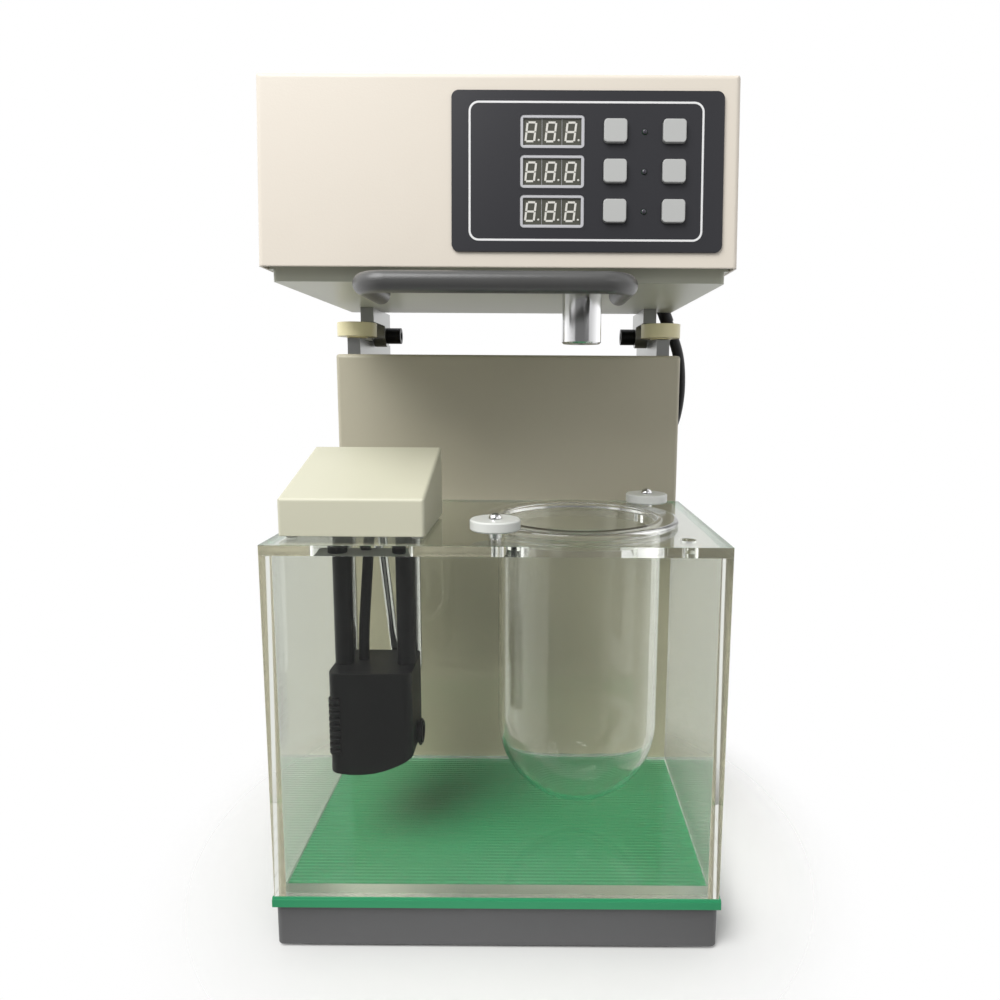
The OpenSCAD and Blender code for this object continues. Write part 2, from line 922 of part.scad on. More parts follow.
// Spacer tubes that lift the discs to the height of the flange
module clamp_spacers() {
    color(steel)
        clamp_places()
            translate([0, 0, lid_top])
                difference() {
                    cylinder(h = flange_t, d = spacer_d);
                    translate([0, 0, -1])
                        cylinder(h = flange_t + 2, d = clamp_screw_d + 2 * seat_play);
                }
}

slope = atan2(cover_rear_h - cover_front_h, cover_d);
carrier_z = lid_top + cover_lift;

// Cover from the side, standing on 0, with round top corners
module cover_side(d, front_h, rear_h, r) {
    wide = r / tan((90 + slope) / 2);
    tight = r / tan((90 - slope) / 2);
    run = [cos(slope), sin(slope)];
    polygon([
        [0, 0], [d, 0], [d, rear_h - tight], [d, rear_h] - tight * run,
        [0, front_h] + wide * run, [0, front_h - wide]
    ]);
    translate([r, front_h - wide])
        circle(r);
    translate([d - r, rear_h - tight])
        circle(r);
}

// Wedge-shaped solid of the heater cover, shrunk by t on its outside faces
module cover_solid(t, r) {
    w = cover_w - 2 * t;
    d = cover_d - 2 * t;
    front_h = cover_front_h + t * tan(slope) - t / cos(slope);
    rear_h = front_h + d * tan(slope);
    intersection() {
        linear_extrude(cover_rear_h)
            rounded_rect(w, d, r);
        translate([-w / 2, -d / 2, 0])
            rotate([90, 0, 90])
                linear_extrude(w)
                    cover_side(d, front_h, rear_h, r);
        translate([0, -d / 2, front_h])
            rotate([slope, 0, 0])
                translate([0, 2 * d, -2 * d])
                    rotate([90, 0, 0])
                        linear_extrude(4 * d)
                            round_top(w, 2 * d, r);
    }
}

// Moulded cover over the heater's wiring, with a sloping top
module heater_cover() {
    color("#E4E1CF")
        translate([-cover_left, unit_y, carrier_z])
            difference() {
                cover_solid(0, cover_r);
                translate([0, 0, -1])
                    cover_solid(cover_t, max(0.4, cover_r - cover_t));
            }
}

// Plate inside the cover that stands on the lid with four feet and carries the tubes and the heater
module heater_carrier() {
    fit = cover_t + cut_play;
    pad_in = 5.5;
    color("#BDBDB6")
        difference() {
            translate([-cover_left, unit_y, lid_top]) {
                translate([0, 0, cover_lift])
                    linear_extrude(carrier_t)
                        rounded_rect(cover_w - 2 * fit, cover_d - 2 * fit, 1);
                for (sx = SIDES, sy = SIDES)
                    translate([sx * (cover_w / 2 - pad_in), sy * (cover_d / 2 - pad_in - 3), 0])
                        cylinder(h = cover_lift + 1, d = pad_d);
            }
            rod_between(probe_tip, probe_top, probe_d / 2 + cut_play);
            translate([lead_top.x, lead_top.y, carrier_z - 1])
                cylinder(h = carrier_t + 2, d = pump_cable_d + 2 * cut_play);
        }
}

pump_y = bath_y + cover_front + 42;
pump_top = lid_top - pump_drop;
pump_z = pump_top - pump_h;
tube_y = pump_y - 1;

// Two tubes that the pump hangs from
module pump_tubes() {
    color(dark)
        for (s = SIDES)
            translate([s * tube_gap / 2 - unit_left, tube_y, pump_top])
                cylinder(h = carrier_z - pump_top, d = tube_d);
}

pump_corner = 5;
belly_x = -10;
grille_w = 7;
grille_out = 0.8;
grille_low = 14;
grille_pitch = 4.2;
grille_slot = 2;
grille_h = grille_ribs * grille_pitch;
outlet_up = 19;
chamber_r = 9;
chamber_x = [5, 17];
outlet_bore_r = 5;
impeller_shaft_r = 1.5;
impeller_shaft_l = 16;

// Pump outline from the front: flat top and a curved underside
module pump_front() {
    intersection() {
        translate([-pump_w, -1])
            square([2 * pump_w, pump_h + 1]);
        translate([belly_x, belly_r])
            circle(belly_r);
    }
}

// Outer form of the pump
module pump_form() {
    intersection() {
        translate([0, 0, -1])
            linear_extrude(pump_h + 2)
                rounded_rect(pump_w, pump_d, pump_corner);
        translate([0, pump_d, 0])
            rotate([90, 0, 0])
                linear_extrude(2 * pump_d)
                    pump_front();
    }
}

module grille_zone(play) {
    translate([-pump_w, -pump_d, grille_low - play])
        cube([pump_w / 2 + grille_w + play, 2 * pump_d, grille_h + 2 * play]);
}

// Pump housing with its impeller chamber and outlet way
module pump_body() {
    color(dark)
        translate([-unit_left, pump_y, pump_z])
            difference() {
                pump_form();
                grille_zone(seat_play);
                translate([0, 0, outlet_up]) {
                    rod_x(chamber_x[0], chamber_x[1], chamber_r);
                    rod_x(chamber_x[1] - 2, pump_w, outlet_bore_r);
                    rod_x(chamber_x[0] - impeller_shaft_l, chamber_x[0] + 1, impeller_shaft_r + shaft_play);
                }
            }
}

// Ribbed intake cover that wraps round the pump's left end
module pump_grille() {
    color(dark)
        translate([-unit_left, pump_y, pump_z])
            intersection() {
                union() {
                    linear_extrude(pump_h)
                        rounded_rect(pump_w - 3, pump_d - 3, pump_corner - 1.5);
                    for (i = [0:grille_ribs - 1])
                        translate([0, 0, grille_low + i * grille_pitch])
                            linear_extrude(grille_pitch - grille_slot)
                                rounded_rect(pump_w + 2 * grille_out, pump_d + 2 * grille_out, pump_corner);
                }
                grille_zone(0);
            }
}

// Outlet spout on the pump's right side
module pump_outlet() {
    spout_l = 4;
    rim_l = 1;
    color(dark)
        translate([-unit_left, pump_y, pump_z + outlet_up])
            difference() {
                union() {
                    rod_x(pump_w / 2, pump_w / 2 + spout_l, outlet_d / 2 - 1.5);
                    rod_x(pump_w / 2 + spout_l - 2 * rim_l, pump_w / 2 + spout_l - rim_l, outlet_d / 2);
                }
                rod_x(pump_w / 2 - 1, pump_w / 2 + spout_l + 1, outlet_bore_r);
            }
}

// Bladed impeller with its shaft in the housing
module pump_impeller() {
    blades = 6;
    hub_r = 3.5;
    tip_r = chamber_r - 0.8;
    blade_t = 1.6;
    blade_inset = 0.5;
    low_x = chamber_x[0] + run_gap;
    high_x = chamber_x[1] - run_gap - 2;
    color("#D9D9D2")
        translate([-unit_left, pump_y, pump_z + outlet_up]) {
            rod_x(chamber_x[0] - impeller_shaft_l + 1, low_x + 1, impeller_shaft_r);
            rod_x(low_x, high_x, hub_r);
            for (i = [0:blades - 1])
                rotate([i * 360 / blades, 0, 0])
                    translate([low_x + blade_inset, -blade_t / 2, 1])
                        cube([high_x - low_x - 2 * blade_inset, blade_t, tip_r - 1]);
        }
}

heater_y = bath_y + cover_front + 68;

// Steel heating rod bent into a U behind the pump
module heater_element() {
    bend_r = heater_gap / 2;
    bend_z = lid_top - heater_drop;
    color(steel)
        translate([-unit_left, heater_y, 0]) {
            for (s = SIDES)
                translate([s * bend_r, 0, bend_z])
                    cylinder(h = carrier_z - bend_z, d = heater_d);
            translate([0, 0, bend_z])
                rotate([-90, 0, 0])
                    rotate_extrude(angle = 180)
                        translate([bend_r, 0])
                            circle(d = heater_d);
        }
}

probe_top = [0.3 - unit_left, heater_y - 13, carrier_z + carrier_t + 3];
probe_tip = [8 - unit_left, heater_y, lid_top - heater_drop + 2];

// Slanting temperature probe with a round tip
module temperature_probe() {
    color(steel)
        union() {
            rod_between(probe_tip, probe_top, probe_d / 2);
            translate(probe_tip)
                sphere(d = probe_d);
        }
}

lead_top = [-4 - unit_left, pump_y + 7, carrier_z + carrier_t + 3];
lead_foot = [-9 - unit_left, pump_y + 5, pump_top + 0.05];

// Points of the pump lead, with upright ends and a slack S between them
function lead_point(t) = lead_foot + t * (lead_top - lead_foot)
    + (3 * t * t - 2 * t * t * t - t) * [lead_top.x - lead_foot.x, lead_top.y - lead_foot.y, 0];

// Pump lead between the carrier plate and the pump
module pump_cable() {
    steps = 10;
    color(dark)
        tube_along([for (i = [0:steps]) lead_point(i / steps)], pump_cable_d / 2, 10);
}

panel_z = hood_top - panel_top - panel_h / 2;
row_z = [row_pitch, 0, -row_pitch];
button_x = [button_x1, button_x2];
display_left = display_x - display_w / 2;
window_x0 = display_left - 3;
window_x1 = button_x2 + button_w / 2 + 5;
window_h = 2 * row_pitch + display_h + 5;
control_board_in = 10;
control_board_t = 1.6;
control_board = [window_x1 - window_x0 + 24, window_h + 14];
control_board_x = (window_x0 + window_x1) / 2;
control_stud_in = 5;

module control_stud_places() {
    for (sx = SIDES, sz = SIDES)
        translate([
            control_board_x + sx * (control_board.x / 2 - control_stud_in), hood_y,
            panel_z + sz * (control_board.y / 2 - control_stud_in)
        ])
            children();
}

hood_screw_d = 3;
hood_screw_y = [30, 160];
hood_screw_up = 7;

module hood_screw_places() {
    for (s = SIDES, y = hood_screw_y)
        translate([s * head_w / 2, hood_y + y, hood_z + hood_screw_up])
            rotate([0, 0, s < 0 ? 180 : 0])
                children();
}

// Leans what is drawn on an upright hood front back by the slope of the real front
module on_front() {
    translate([0, hood_y, panel_z])
        rotate([-front_slope, 0, 0])
            translate([0, -hood_y, -panel_z])
                children();
}

// Hood from the side, with its front at y = 0 at the panel's height; t is the distance inside its faces
module hood_side(t, low, r) {
    top = head_h - t;
    rear = head_d - t;
    lean = [sin(front_slope), cos(front_slope)];
    wide = r / tan((90 + front_slope) / 2);
    front = t / lean.y;
    front_low = front + (low - panel_z + hood_z) * tan(front_slope);
    front_top = front + (top - panel_z + hood_z) * tan(front_slope);
    polygon([
        [front_low, low], [rear, low], [rear, top - r], [rear - r, top],
        [front_top + wide, top], [front_top, top] - wide * lean
    ]);
    translate([front_top + wide, top - r])
        circle(r);
    translate([rear - r, top - r])
        circle(r);
}

// Solid form of the hood, shrunk by t on its outside faces and starting at height low
module hood_solid(t, low, r) {
    w = head_w - 2 * t;
    long = 2 * head_d;
    intersection() {
        translate([0, 0, panel_z - hood_z])
            rotate([-front_slope, 0, 0])
                translate([0, t + long / 2, -head_h])
                    linear_extrude(2 * head_h)
                        rounded_rect(w, long, r);
        translate([0, head_d - t - long / 2, low - 1])
            linear_extrude(head_h + 3)
                rounded_rect(w, long, r);
        translate([0, long, low])
            rotate([90, 0, 0])
                linear_extrude(2 * long)
                    round_top(w, head_h - t - low, r);
        translate([-w / 2, 0, 0])
            rotate([90, 0, 90])
                linear_extrude(w)
                    hood_side(t, low, r);
    }
}

// Folded hood, open below, with a window behind the control panel
module head_hood() {
    color(cream)
        difference() {
            union() {
                translate([0, hood_y, hood_z])
                    difference() {
                        hood_solid(0, 0, hood_r);
                        hood_solid(sheet_t, -1, hood_r - sheet_t);
                    }
                on_front()
                    control_stud_places()
                        rod_y(sheet_t / 2, control_board_in, 3);
            }
            on_front()
                translate([window_x0, hood_y - 1, panel_z - window_h / 2])
                    cube([window_x1 - window_x0, sheet_t + 2, window_h]);
            hood_screw_places()
                rod_x(-sheet_t - 1, 1, hood_screw_d / 2 + cut_play);
        }
}

plate_y = hood_y + plate_front;
plate_w = head_w - 2 * plate_side;
plate_d = head_d - plate_front - plate_rear;
lip_h = 9.5;
lip_w = head_w - 2 * sheet_t - 2 * cut_play;
handle_r = handle_d / 2;
handle_x = handle_w / 2 - handle_r;
handle_screw_y = hood_y + handle_leg - 8;
m4 = 4;
bracket_y = rail_y;
bracket_l = pivot_y + 12 - bracket_y;
bracket_screw_y = [bracket_y + 9, bracket_y + 31];

module plate_screw_places() {
    for (s = SIDES) {
        translate([s * handle_x, handle_screw_y, plate_z])
            children();
        for (y = bracket_screw_y)
            translate([s * bracket_x, y, plate_z])
                children();
    }
}

gland_x = column_w / 2 - 7;
head_gland_y = column_y + 39.2;
gland_hole_r = 3;

// Tray that closes the head from below; its lip stands inside the hood
module head_plate() {
    lip_d = plate_d - 2 * cut_play;
    color(cream)
        difference() {
            union() {
                translate([0, plate_y + plate_d / 2, plate_z])
                    linear_extrude(plate_drop + plate_t)
                        rounded_rect(plate_w, plate_d, hood_r);
                translate([0, plate_y + plate_d / 2, hood_z])
                    linear_extrude(lip_h)
                        rounded_rect(lip_w, lip_d, hood_r - sheet_t);
            }
            translate([0, plate_y + plate_d / 2, plate_z + plate_t])
                linear_extrude(plate_drop + lip_h)
                    rounded_rect(plate_w - 2 * plate_t, plate_d - 2 * plate_t, hood_r - plate_t);
            translate([0, plate_y + plate_d / 2, hood_z + plate_t])
                linear_extrude(lip_h)
                    rounded_rect(lip_w - 2 * plate_t, lip_d - 2 * plate_t, 0.5);
            translate([vessel_x, vessel_y, plate_z - 1])
                cylinder(h = plate_t + 2, d = chuck_d + 2);
            plate_screw_places()
                translate([0, 0, -1])
                    cylinder(h = plate_t + 2, d = m4 + 2 * cut_play);
            translate([gland_x, head_gland_y, plate_z - 1])
                cylinder(h = plate_t + 2, r = gland_hole_r + cut_play);
            hood_screw_places()
                rod_x(-8, 1, hood_screw_d / 2 + seat_play);
        }
}

handle_z = plate_z - 0.1 - handle_r;
handle_y = hood_y - handle_reach + handle_r;
handle_hole = 7;

// Round bar bent to a U, screwed up against the head plate
module handle() {
    straight = handle_x - handle_bend;
    leg_end = hood_y + handle_leg - handle_r;
    color(grey_paint)
        difference() {
            translate([0, 0, handle_z])
                union() {
                    translate([0, handle_y, 0])
                        rod_x(-straight, straight, handle_r);
                    for (s = SIDES)
                        mirror([s < 0 ? 1 : 0, 0, 0]) {
                            translate([straight, handle_y + handle_bend, 0])
                                rotate([0, 0, -90])
                                    rotate_extrude(angle = 90)
                                        translate([handle_bend, 0])
                                            circle(handle_r);
                            translate([handle_x, 0, 0])
                                rod_y(handle_y + handle_bend, leg_end, handle_r);
                            translate([handle_x, leg_end, 0])
                                sphere(handle_r);
                        }
                }
            for (s = SIDES)
                translate([s * handle_x, handle_screw_y, plate_z - handle_hole - 0.5])
                    cylinder(h = handle_hole + 1, d = m4 + 2 * seat_play);
        }
}

// Screws for the handle and the brackets inside the head, and for the hood's sides
module head_screws() {
    head_r = 3.6;
    head_l = 2.4;
    side_head_r = 3;
    side_head_l = 1.8;
    color(steel) {
        plate_screw_places() {
            translate([0, 0, -handle_hole])
                cylinder(h = handle_hole + plate_t, d = m4);
            translate([0, 0, plate_t])
                cylinder(h = head_l, r = head_r);
        }
        hood_screw_places() {
            rod_x(-6, 0, hood_screw_d / 2);
            rod_x(0, side_head_l, side_head_r);
        }
    }
}

// Bars under the head that rest on the discs, each with a round lug on its pivot screw
module head_brackets() {
    color(alloy)
        for (s = SIDES)
            difference() {
                union() {
                    translate([s * bracket_x - bracket_t / 2, bracket_y, arm_z])
                        cube([bracket_t, bracket_l, arm_h]);
                    translate([s * bracket_x, pivot_y, pivot_z])
                        rod_x(-bracket_t / 2, bracket_t / 2, lug_r);
                    translate([s * bracket_x - bracket_t / 2, pivot_y - lug_r, pivot_z])
                        cube([bracket_t, 2 * lug_r, arm_z + 1 - pivot_z]);
                }
                translate([s * bracket_x, pivot_y, pivot_z])
                    rod_x(-bracket_t, bracket_t, pivot_d / 2 + shaft_play);
                for (y = bracket_screw_y)
                    translate([s * bracket_x, y, plate_z - handle_hole - 0.5])
                        cylinder(h = handle_hole + 1, d = m4 + 2 * seat_play);
            }
}

lamp_d = 2.8;
button_corner = 2;

// Dark panel on the hood front, with openings for displays, buttons and lamps
module control_panel() {
    color("#3A3A44")
        on_front()
            translate([0, hood_y, panel_z])
                rotate([90, 0, 0])
                    linear_extrude(panel_t)
                        difference() {
                            translate([panel_x, 0])
                                rounded_rect(panel_w, panel_h, panel_r);
                            for (z = row_z) {
                                translate([display_x, z])
                                    square([display_w, display_h] + 2 * [cut_play, cut_play], center = true);
                                for (x = button_x)
                                    translate([x, z])
                                        rounded_rect(button_w + 2 * run_gap, button_h + 2 * run_gap,
                                            button_corner + run_gap);
                                translate([lamp_x, z])
                                    circle(d = lamp_d + 2 * cut_play);
                            }
                        }
}

// Three display blocks, each with a sunk window, standing on the display board
module digit_displays() {
    frame_w = 1.7;
    window_sink = 0.8;
    front = panel_t - 0.2;
    color("#C9C9CE")
        on_front()
            for (z = row_z)
                translate([display_x, hood_y, panel_z + z])
                    rotate([90, 0, 0])
                        difference() {
                            translate([0, 0, -control_board_in])
                                linear_extrude(control_board_in + front)
                                    square([display_w, display_h], center = true);
                            translate([0, 0, front - window_sink])
                                linear_extrude(window_sink + 1)
                                    square([display_w - 2 * frame_w, display_h - 2 * frame_w], center = true);
                        }
}

switch_h = 1.6;
stem_end = control_board_in - switch_h - button_travel - run_gap;

// One push button: cap in the panel, collar behind it and a stem to its switch
module push_button(i) {
    collar_t = 1.5;
    collar_w = 1.3;
    stem_d = 4;
    column = floor(i / 3);
    row = i % 3;
    color("#BFBFBF")
        on_front()
            translate([button_x[column], hood_y, panel_z + row_z[row]]) {
                rotate([90, 0, 0]) {
                    translate([0, 0, -run_gap - collar_t / 2])
                        linear_extrude(panel_t + button_out + run_gap + collar_t / 2)
                            rounded_rect(button_w, button_h, button_corner);
                    translate([0, 0, -run_gap - collar_t])
                        linear_extrude(collar_t)
                            rounded_rect(button_w + 2 * collar_w, button_h + 2 * collar_w, button_corner);
                }
                rod_y(run_gap + collar_t / 2, stem_end, stem_d / 2);
            }
}

// Display board with its key switches and indicator lamps
module display_board() {
    key = 6;
    color("#2E6B3E")
        on_front()
            translate([0, hood_y, panel_z]) {
                translate([control_board_x, control_board_in, 0])
                    rotate([-90, 0, 0])
                        linear_extrude(control_board_t)
                            square(control_board, center = true);
                for (z = row_z) {
                    for (x = button_x)
                        translate([x - key / 2, control_board_in - switch_h, z - key / 2])
                            cube([key, switch_h + 0.5, key]);
                    translate([lamp_x, 0, z])
                        rod_y(-panel_t - 0.3, control_board_in + 0.5, lamp_d / 2);
                }
            }
}

chuck_z = plate_z - chuck_drop;
chuck_top = plate_z + plate_t + 2;
housing_z = plate_z + plate_t;
bearing_r = 13;
bearing_t = 8;
bearing_z = [chuck_top + 2, chuck_top + 34];
housing_top = bearing_z[1] + bearing_t + 3;
belt_w = 10;
pulley_t = 14;
pulley_z = housing_top + 2;
motor_y = vessel_y + motor_back;
motor_shaft_r = 4;
motor_shaft_l = 15;
motor_top = pulley_z - 2;
belt_t = 1.6;
belt_play = 0.1;

// Steel holder for a stirring rod, with a deep socket
module chuck() {
    lead = 1;
    color(steel)
        translate([vessel_x, vessel_y, chuck_z])
            difference() {
                union() {
                    cylinder(h = lead, d1 = chuck_d - 2 * lead, d2 = chuck_d);
                    translate([0, 0, lead])
                        cylinder(h = chuck_top - chuck_z - lead, d = chuck_d);
                }
                translate([0, 0, -1])
                    cylinder(h = socket_l + 1, d = socket_d);
            }
}

// Shaft from the chuck up to its pulley
module spindle_shaft() {
    color(steel)
        translate([vessel_x, vessel_y, chuck_top])
            cylinder(h = pulley_z + pulley_t + 2 - chuck_top, d = spindle_d);
}

// Two ball bearings, drawn as rings
module spindle_bearings() {
    color(steel)
        for (z = bearing_z)
            translate([vessel_x, vessel_y, z])
                difference() {
                    cylinder(h = bearing_t, r = bearing_r);
                    translate([0, 0, -1])
                        cylinder(h = bearing_t + 2, d = spindle_d + 2 * shaft_play);
                }
}

// Flanged housing that holds the bearings upright on the head plate
module bearing_housing() {
    flange_r = 32;
    flange_h = 5;
    barrel_r = bearing_r + 5;
    seat_r = bearing_r + seat_play;
    color(alloy)
        translate([vessel_x, vessel_y, 0])
            difference() {
                union() {
                    translate([0, 0, housing_z])
                        cylinder(h = flange_h, r = flange_r);
                    translate([0, 0, housing_z])
                        cylinder(h = housing_top - housing_z, r = barrel_r);
                }
                translate([0, 0, housing_z - 1])
                    cylinder(h = bearing_z[0] - housing_z + 1, r = chuck_d / 2 + 1);
                translate([0, 0, bearing_z[0] - 0.5])
                    cylinder(h = bearing_t + 0.5, r = seat_r);
                translate([0, 0, bearing_z[0]])
                    cylinder(h = bearing_z[1] - bearing_z[0] + 1, r = bearing_r - 2);
                translate([0, 0, bearing_z[1]])
                    cylinder(h = far, r = seat_r);
            }
}

// A flat-belt pulley with two rims, standing on 0
module belt_pulley(r, bore_r) {
    rim = (pulley_t - belt_w) / 2 - run_gap;
    difference() {
        union() {
            cylinder(h = pulley_t, r = r);
            for (z = [0, pulley_t - rim])
                translate([0, 0, z])
                    cylinder(h = rim, r = r + belt_t + 1);
        }
        translate([0, 0, -1])
            cylinder(h = pulley_t + 2, r = bore_r);
    }
}

module spindle_pulley() {
    color(alloy)
        translate([vessel_x, vessel_y, pulley_z])
            belt_pulley(spindle_pulley_r, spindle_d / 2 + seat_play);
}

// Motor pulley with the motor's output shaft
module motor_pulley() {
    color(alloy)
        translate([motor_x, motor_y, 0]) {
            translate([0, 0, pulley_z])
                belt_pulley(motor_pulley_r, motor_shaft_r - 0.5);
            translate([0, 0, motor_top - motor_shaft_l])
                cylinder(h = pulley_z + pulley_t - motor_top + motor_shaft_l, r = motor_shaft_r);
        }
}

// Outline round both pulleys, at a distance e from their faces
module belt_outline(e) {
    hull() {
        circle(spindle_pulley_r + e, $fn = 72);
        translate([motor_x - vessel_x, motor_back])
            circle(motor_pulley_r + e, $fn = 72);
    }
}

// Flat drive belt round the two pulleys
module drive_belt() {
    color(dark)
        translate([vessel_x, vessel_y, pulley_z + (pulley_t - belt_w) / 2])
            linear_extrude(belt_w)
                difference() {
                    belt_outline(belt_play + belt_t);
                    belt_outline(belt_play);
                }
}

// Gear motor standing on the head plate
module motor() {
    foot = 64;
    foot_t = 4;
    gear_h = 14;
    color("#8A8C8E")
        translate([motor_x, motor_y, housing_z])
            difference() {
                union() {
                    linear_extrude(foot_t)
                        rounded_rect(foot, foot, 6);
                    cylinder(h = motor_top - housing_z - gear_h + 1, d = motor_d);
                    translate([0, 0, motor_top - housing_z - gear_h])
                        linear_extrude(gear_h)
                            rounded_rect(motor_d - 4, motor_d - 4, 8);
                }
                translate([0, 0, motor_top - housing_z - motor_shaft_l - 1])
                    cylinder(h = motor_shaft_l + 2, r = motor_shaft_r + shaft_play);
            }
}

// Centre line of the cable from the head down to the column's right side,
// counted from the column's upper right front corner
cable_offsets = [
    [-4, 41.1, 28.5], [-2, 42.5, 24.3], [0.6, 44.5, 18.9], [3.3, 47, 13.3], [6, 49.9, 7.1],
    [8.4, 53, -0.1], [10.2, 56.1, -8.7], [11.3, 58.8, -18.1], [11.7, 61, -27.9],
    [11.2, 62.7, -37.7], [9.9, 63.9, -46.9], [8.2, 64.5, -53.7], [6, 64.7, -59.5]
];
cable_route = [for (p = cable_offsets) [column_w / 2, column_y, column_top] + p];
cable_gap = 0.05;
cable_sides = 12;

// Strain relief under the head plate, leaning outwards
module head_gland() {
    lean = heading(cable_route, 0);
    tip = cable_route[0] - cable_gap * lean;
    sleeve_r = cable_d / 2 + 0.7;
    color(dark)
        union() {
            translate([gland_x, head_gland_y, plate_z - 1])
                cylinder(h = plate_t + 1, r = gland_hole_r);
            difference() {
                rod_between(tip, tip - 16 * lean, sleeve_r);
                translate([gland_x - 3 * sleeve_r, head_gland_y - 3 * sleeve_r, plate_z])
                    cube(6 * sleeve_r);
            }
        }
}

// Elbow strain relief on the column's right side
module column_gland() {
    wall_x = column_w / 2;
    last = len(cable_route) - 1;
    along = -heading(cable_route, last);
    mouth = cable_route[last] - cable_gap * along;
    base_r1 = 10;
    base_t1 = 2.4;
    color(dark)
        union() {
            translate([0, gland_y, gland_z]) {
                rod_x(wall_x, wall_x + base_t1, base_r1);
                rod_x(wall_x - 2 * sheet_t, wall_x + 1, gland_spigot_r);
            }
            intersection() {
                rod_between(mouth - 30 * along, mouth, cable_d / 2 + 1.4);
                translate([wall_x, gland_y - base_r1, gland_z - base_r1])
                    cube([far, 2 * base_r1, 4 * base_r1]);
            }
        }
}

function unit(v) = v / norm(v);
function heading(p, i) = unit(p[min(i + 1, len(p) - 1)] - p[max(i - 1, 0)]);
function ring(p, i, r, n) =
    let(t = heading(p, i), a = unit(cross(t, [0, 1, 0])), b = cross(t, a))
    [for (k = [0:n - 1]) p[i] + r * (cos(360 * k / n) * a + sin(360 * k / n) * b)];

// A tube of n sides along the points p
module tube_along(p, r, n) {
    last = len(p) - 1;
    points = [for (i = [0:last]) each ring(p, i, r, n)];
    walls = [for (i = [0:last - 1], k = [0:n - 1])
        let(a = i * n + k, b = i * n + (k + 1) % n)
        each [[a, a + n, b], [b, a + n, b + n]]];
    ends = [for (k = [0:n - 1])
        let(a = k, b = (k + 1) % n, c = last * n)
        each [[len(points), a, b], [len(points) + 1, c + b, c + a]]];
    polyhedron(concat(points, [p[0], p[last]]), concat(walls, ends));
}

// Free cable between the two strain reliefs
module head_cable() {
    color(dark)
        tube_along(cable_route, cable_d / 2, cable_sides);
}

base_tray();
base_bottom_plate();
rubber_feet();
rubber_mat();
column_shell();
column_back_panel();
back_panel_screws();
hinge_rails();
pivot_screws();
level_studs();
level_disc(-1);  // level_disc_left
level_disc(1);  // level_disc_right
power_inlet();
switch_bezel();
power_rocker();
transformer();
power_board();
bath_walls();
bath_floor();
bath_lid();
vessel();
clamp_disc(clamp_turn + 180);  // clamp_disc_front
clamp_disc(clamp_turn);  // clamp_disc_rear
clamp_screws();
clamp_spacers();
heater_cover();
heater_carrier();
pump_tubes();
pump_body();
pump_grille();
pump_outlet();
pump_impeller();
heater_element();
temperature_probe();
pump_cable();
head_hood();
head_plate();
handle();
head_screws();
head_brackets();
control_panel();
digit_displays();
push_button(0);  // button_1
push_button(1);  // button_2
push_button(2);  // button_3
push_button(3);  // button_4
push_button(4);  // button_5
push_button(5);  // button_6
display_board();
motor();
motor_pulley();
drive_belt();
spindle_pulley();
spindle_shaft();
spindle_bearings();
bearing_housing();
chuck();
head_gland();
column_gland();
head_cable();
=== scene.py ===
# %% [markdown]
# This lesson dresses a bench instrument for dissolving tablets: a clear water bath
# with a round-bottomed vessel, a heater unit, a column and a head that tilts. The
# solids come from the shared frame, so Blender adds only finish, light and the small
# things a maker prints, moulds or stamps on the surface.

# %% Load the frame
import math

import bpy
from mathutils import Matrix, Vector


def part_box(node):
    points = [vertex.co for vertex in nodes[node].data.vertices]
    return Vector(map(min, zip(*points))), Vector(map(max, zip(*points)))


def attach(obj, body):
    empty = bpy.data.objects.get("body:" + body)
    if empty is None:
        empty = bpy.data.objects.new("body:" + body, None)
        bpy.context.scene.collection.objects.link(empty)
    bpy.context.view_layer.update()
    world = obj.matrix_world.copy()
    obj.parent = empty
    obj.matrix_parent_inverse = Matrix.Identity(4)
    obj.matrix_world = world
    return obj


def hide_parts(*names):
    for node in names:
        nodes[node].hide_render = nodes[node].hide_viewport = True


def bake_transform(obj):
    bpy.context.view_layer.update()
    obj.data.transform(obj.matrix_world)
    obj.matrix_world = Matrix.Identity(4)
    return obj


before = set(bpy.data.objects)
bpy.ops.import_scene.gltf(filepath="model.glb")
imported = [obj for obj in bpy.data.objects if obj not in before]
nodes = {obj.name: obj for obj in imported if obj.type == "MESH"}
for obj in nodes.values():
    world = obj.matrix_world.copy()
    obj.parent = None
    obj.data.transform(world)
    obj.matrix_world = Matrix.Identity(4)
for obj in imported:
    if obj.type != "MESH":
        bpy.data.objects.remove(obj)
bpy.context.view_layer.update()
scene = bpy.context.scene
MM = 0.001


# %% [markdown]
# The camera comes first, because everything else is judged through it. A lens and a
# place could be tried by eye, but straight edges give them more surely: the corners of
# the head, the bath and the base were matched to their places in the picture, and the
# pitch, the lens and the small shift below came out of that.

# %% Camera
def add_camera(place, pitch, yaw, roll, lens, shift):
    """A camera that looks along +Y, tipped down by pitch and leaning by roll (degrees)."""
    data = bpy.data.cameras.new("camera")
    data.sensor_width = 36.0
    data.lens = lens
    data.shift_x, data.shift_y = shift
    data.clip_start = 0.01
    camera = bpy.data.objects.new("camera", data)
    scene.collection.objects.link(camera)
    camera.location = place
    camera.rotation_mode = "XYZ"
    camera.rotation_euler = (math.radians(90 - pitch), math.radians(roll), math.radians(yaw))
    scene.camera = camera
    return camera


camera = add_camera(place=(0.0228, -0.5351, 0.3382), pitch=7.834, yaw=0.117, roll=-0.322, lens=26.04,
                    shift=(-0.0363, -0.016))
print("camera", round(-camera.location.y, 3), "m before the column's foot, lens", camera.data.lens, "mm")


# %% [markdown]
# Two small helpers serve every step. The first makes an object from plain lists, with
# its place in its vertices and its origin at the world's origin, as the frame's own
# solids have it. The second adds a shader or geometry node with its values and links,
# which keeps each tree readable from top to bottom.

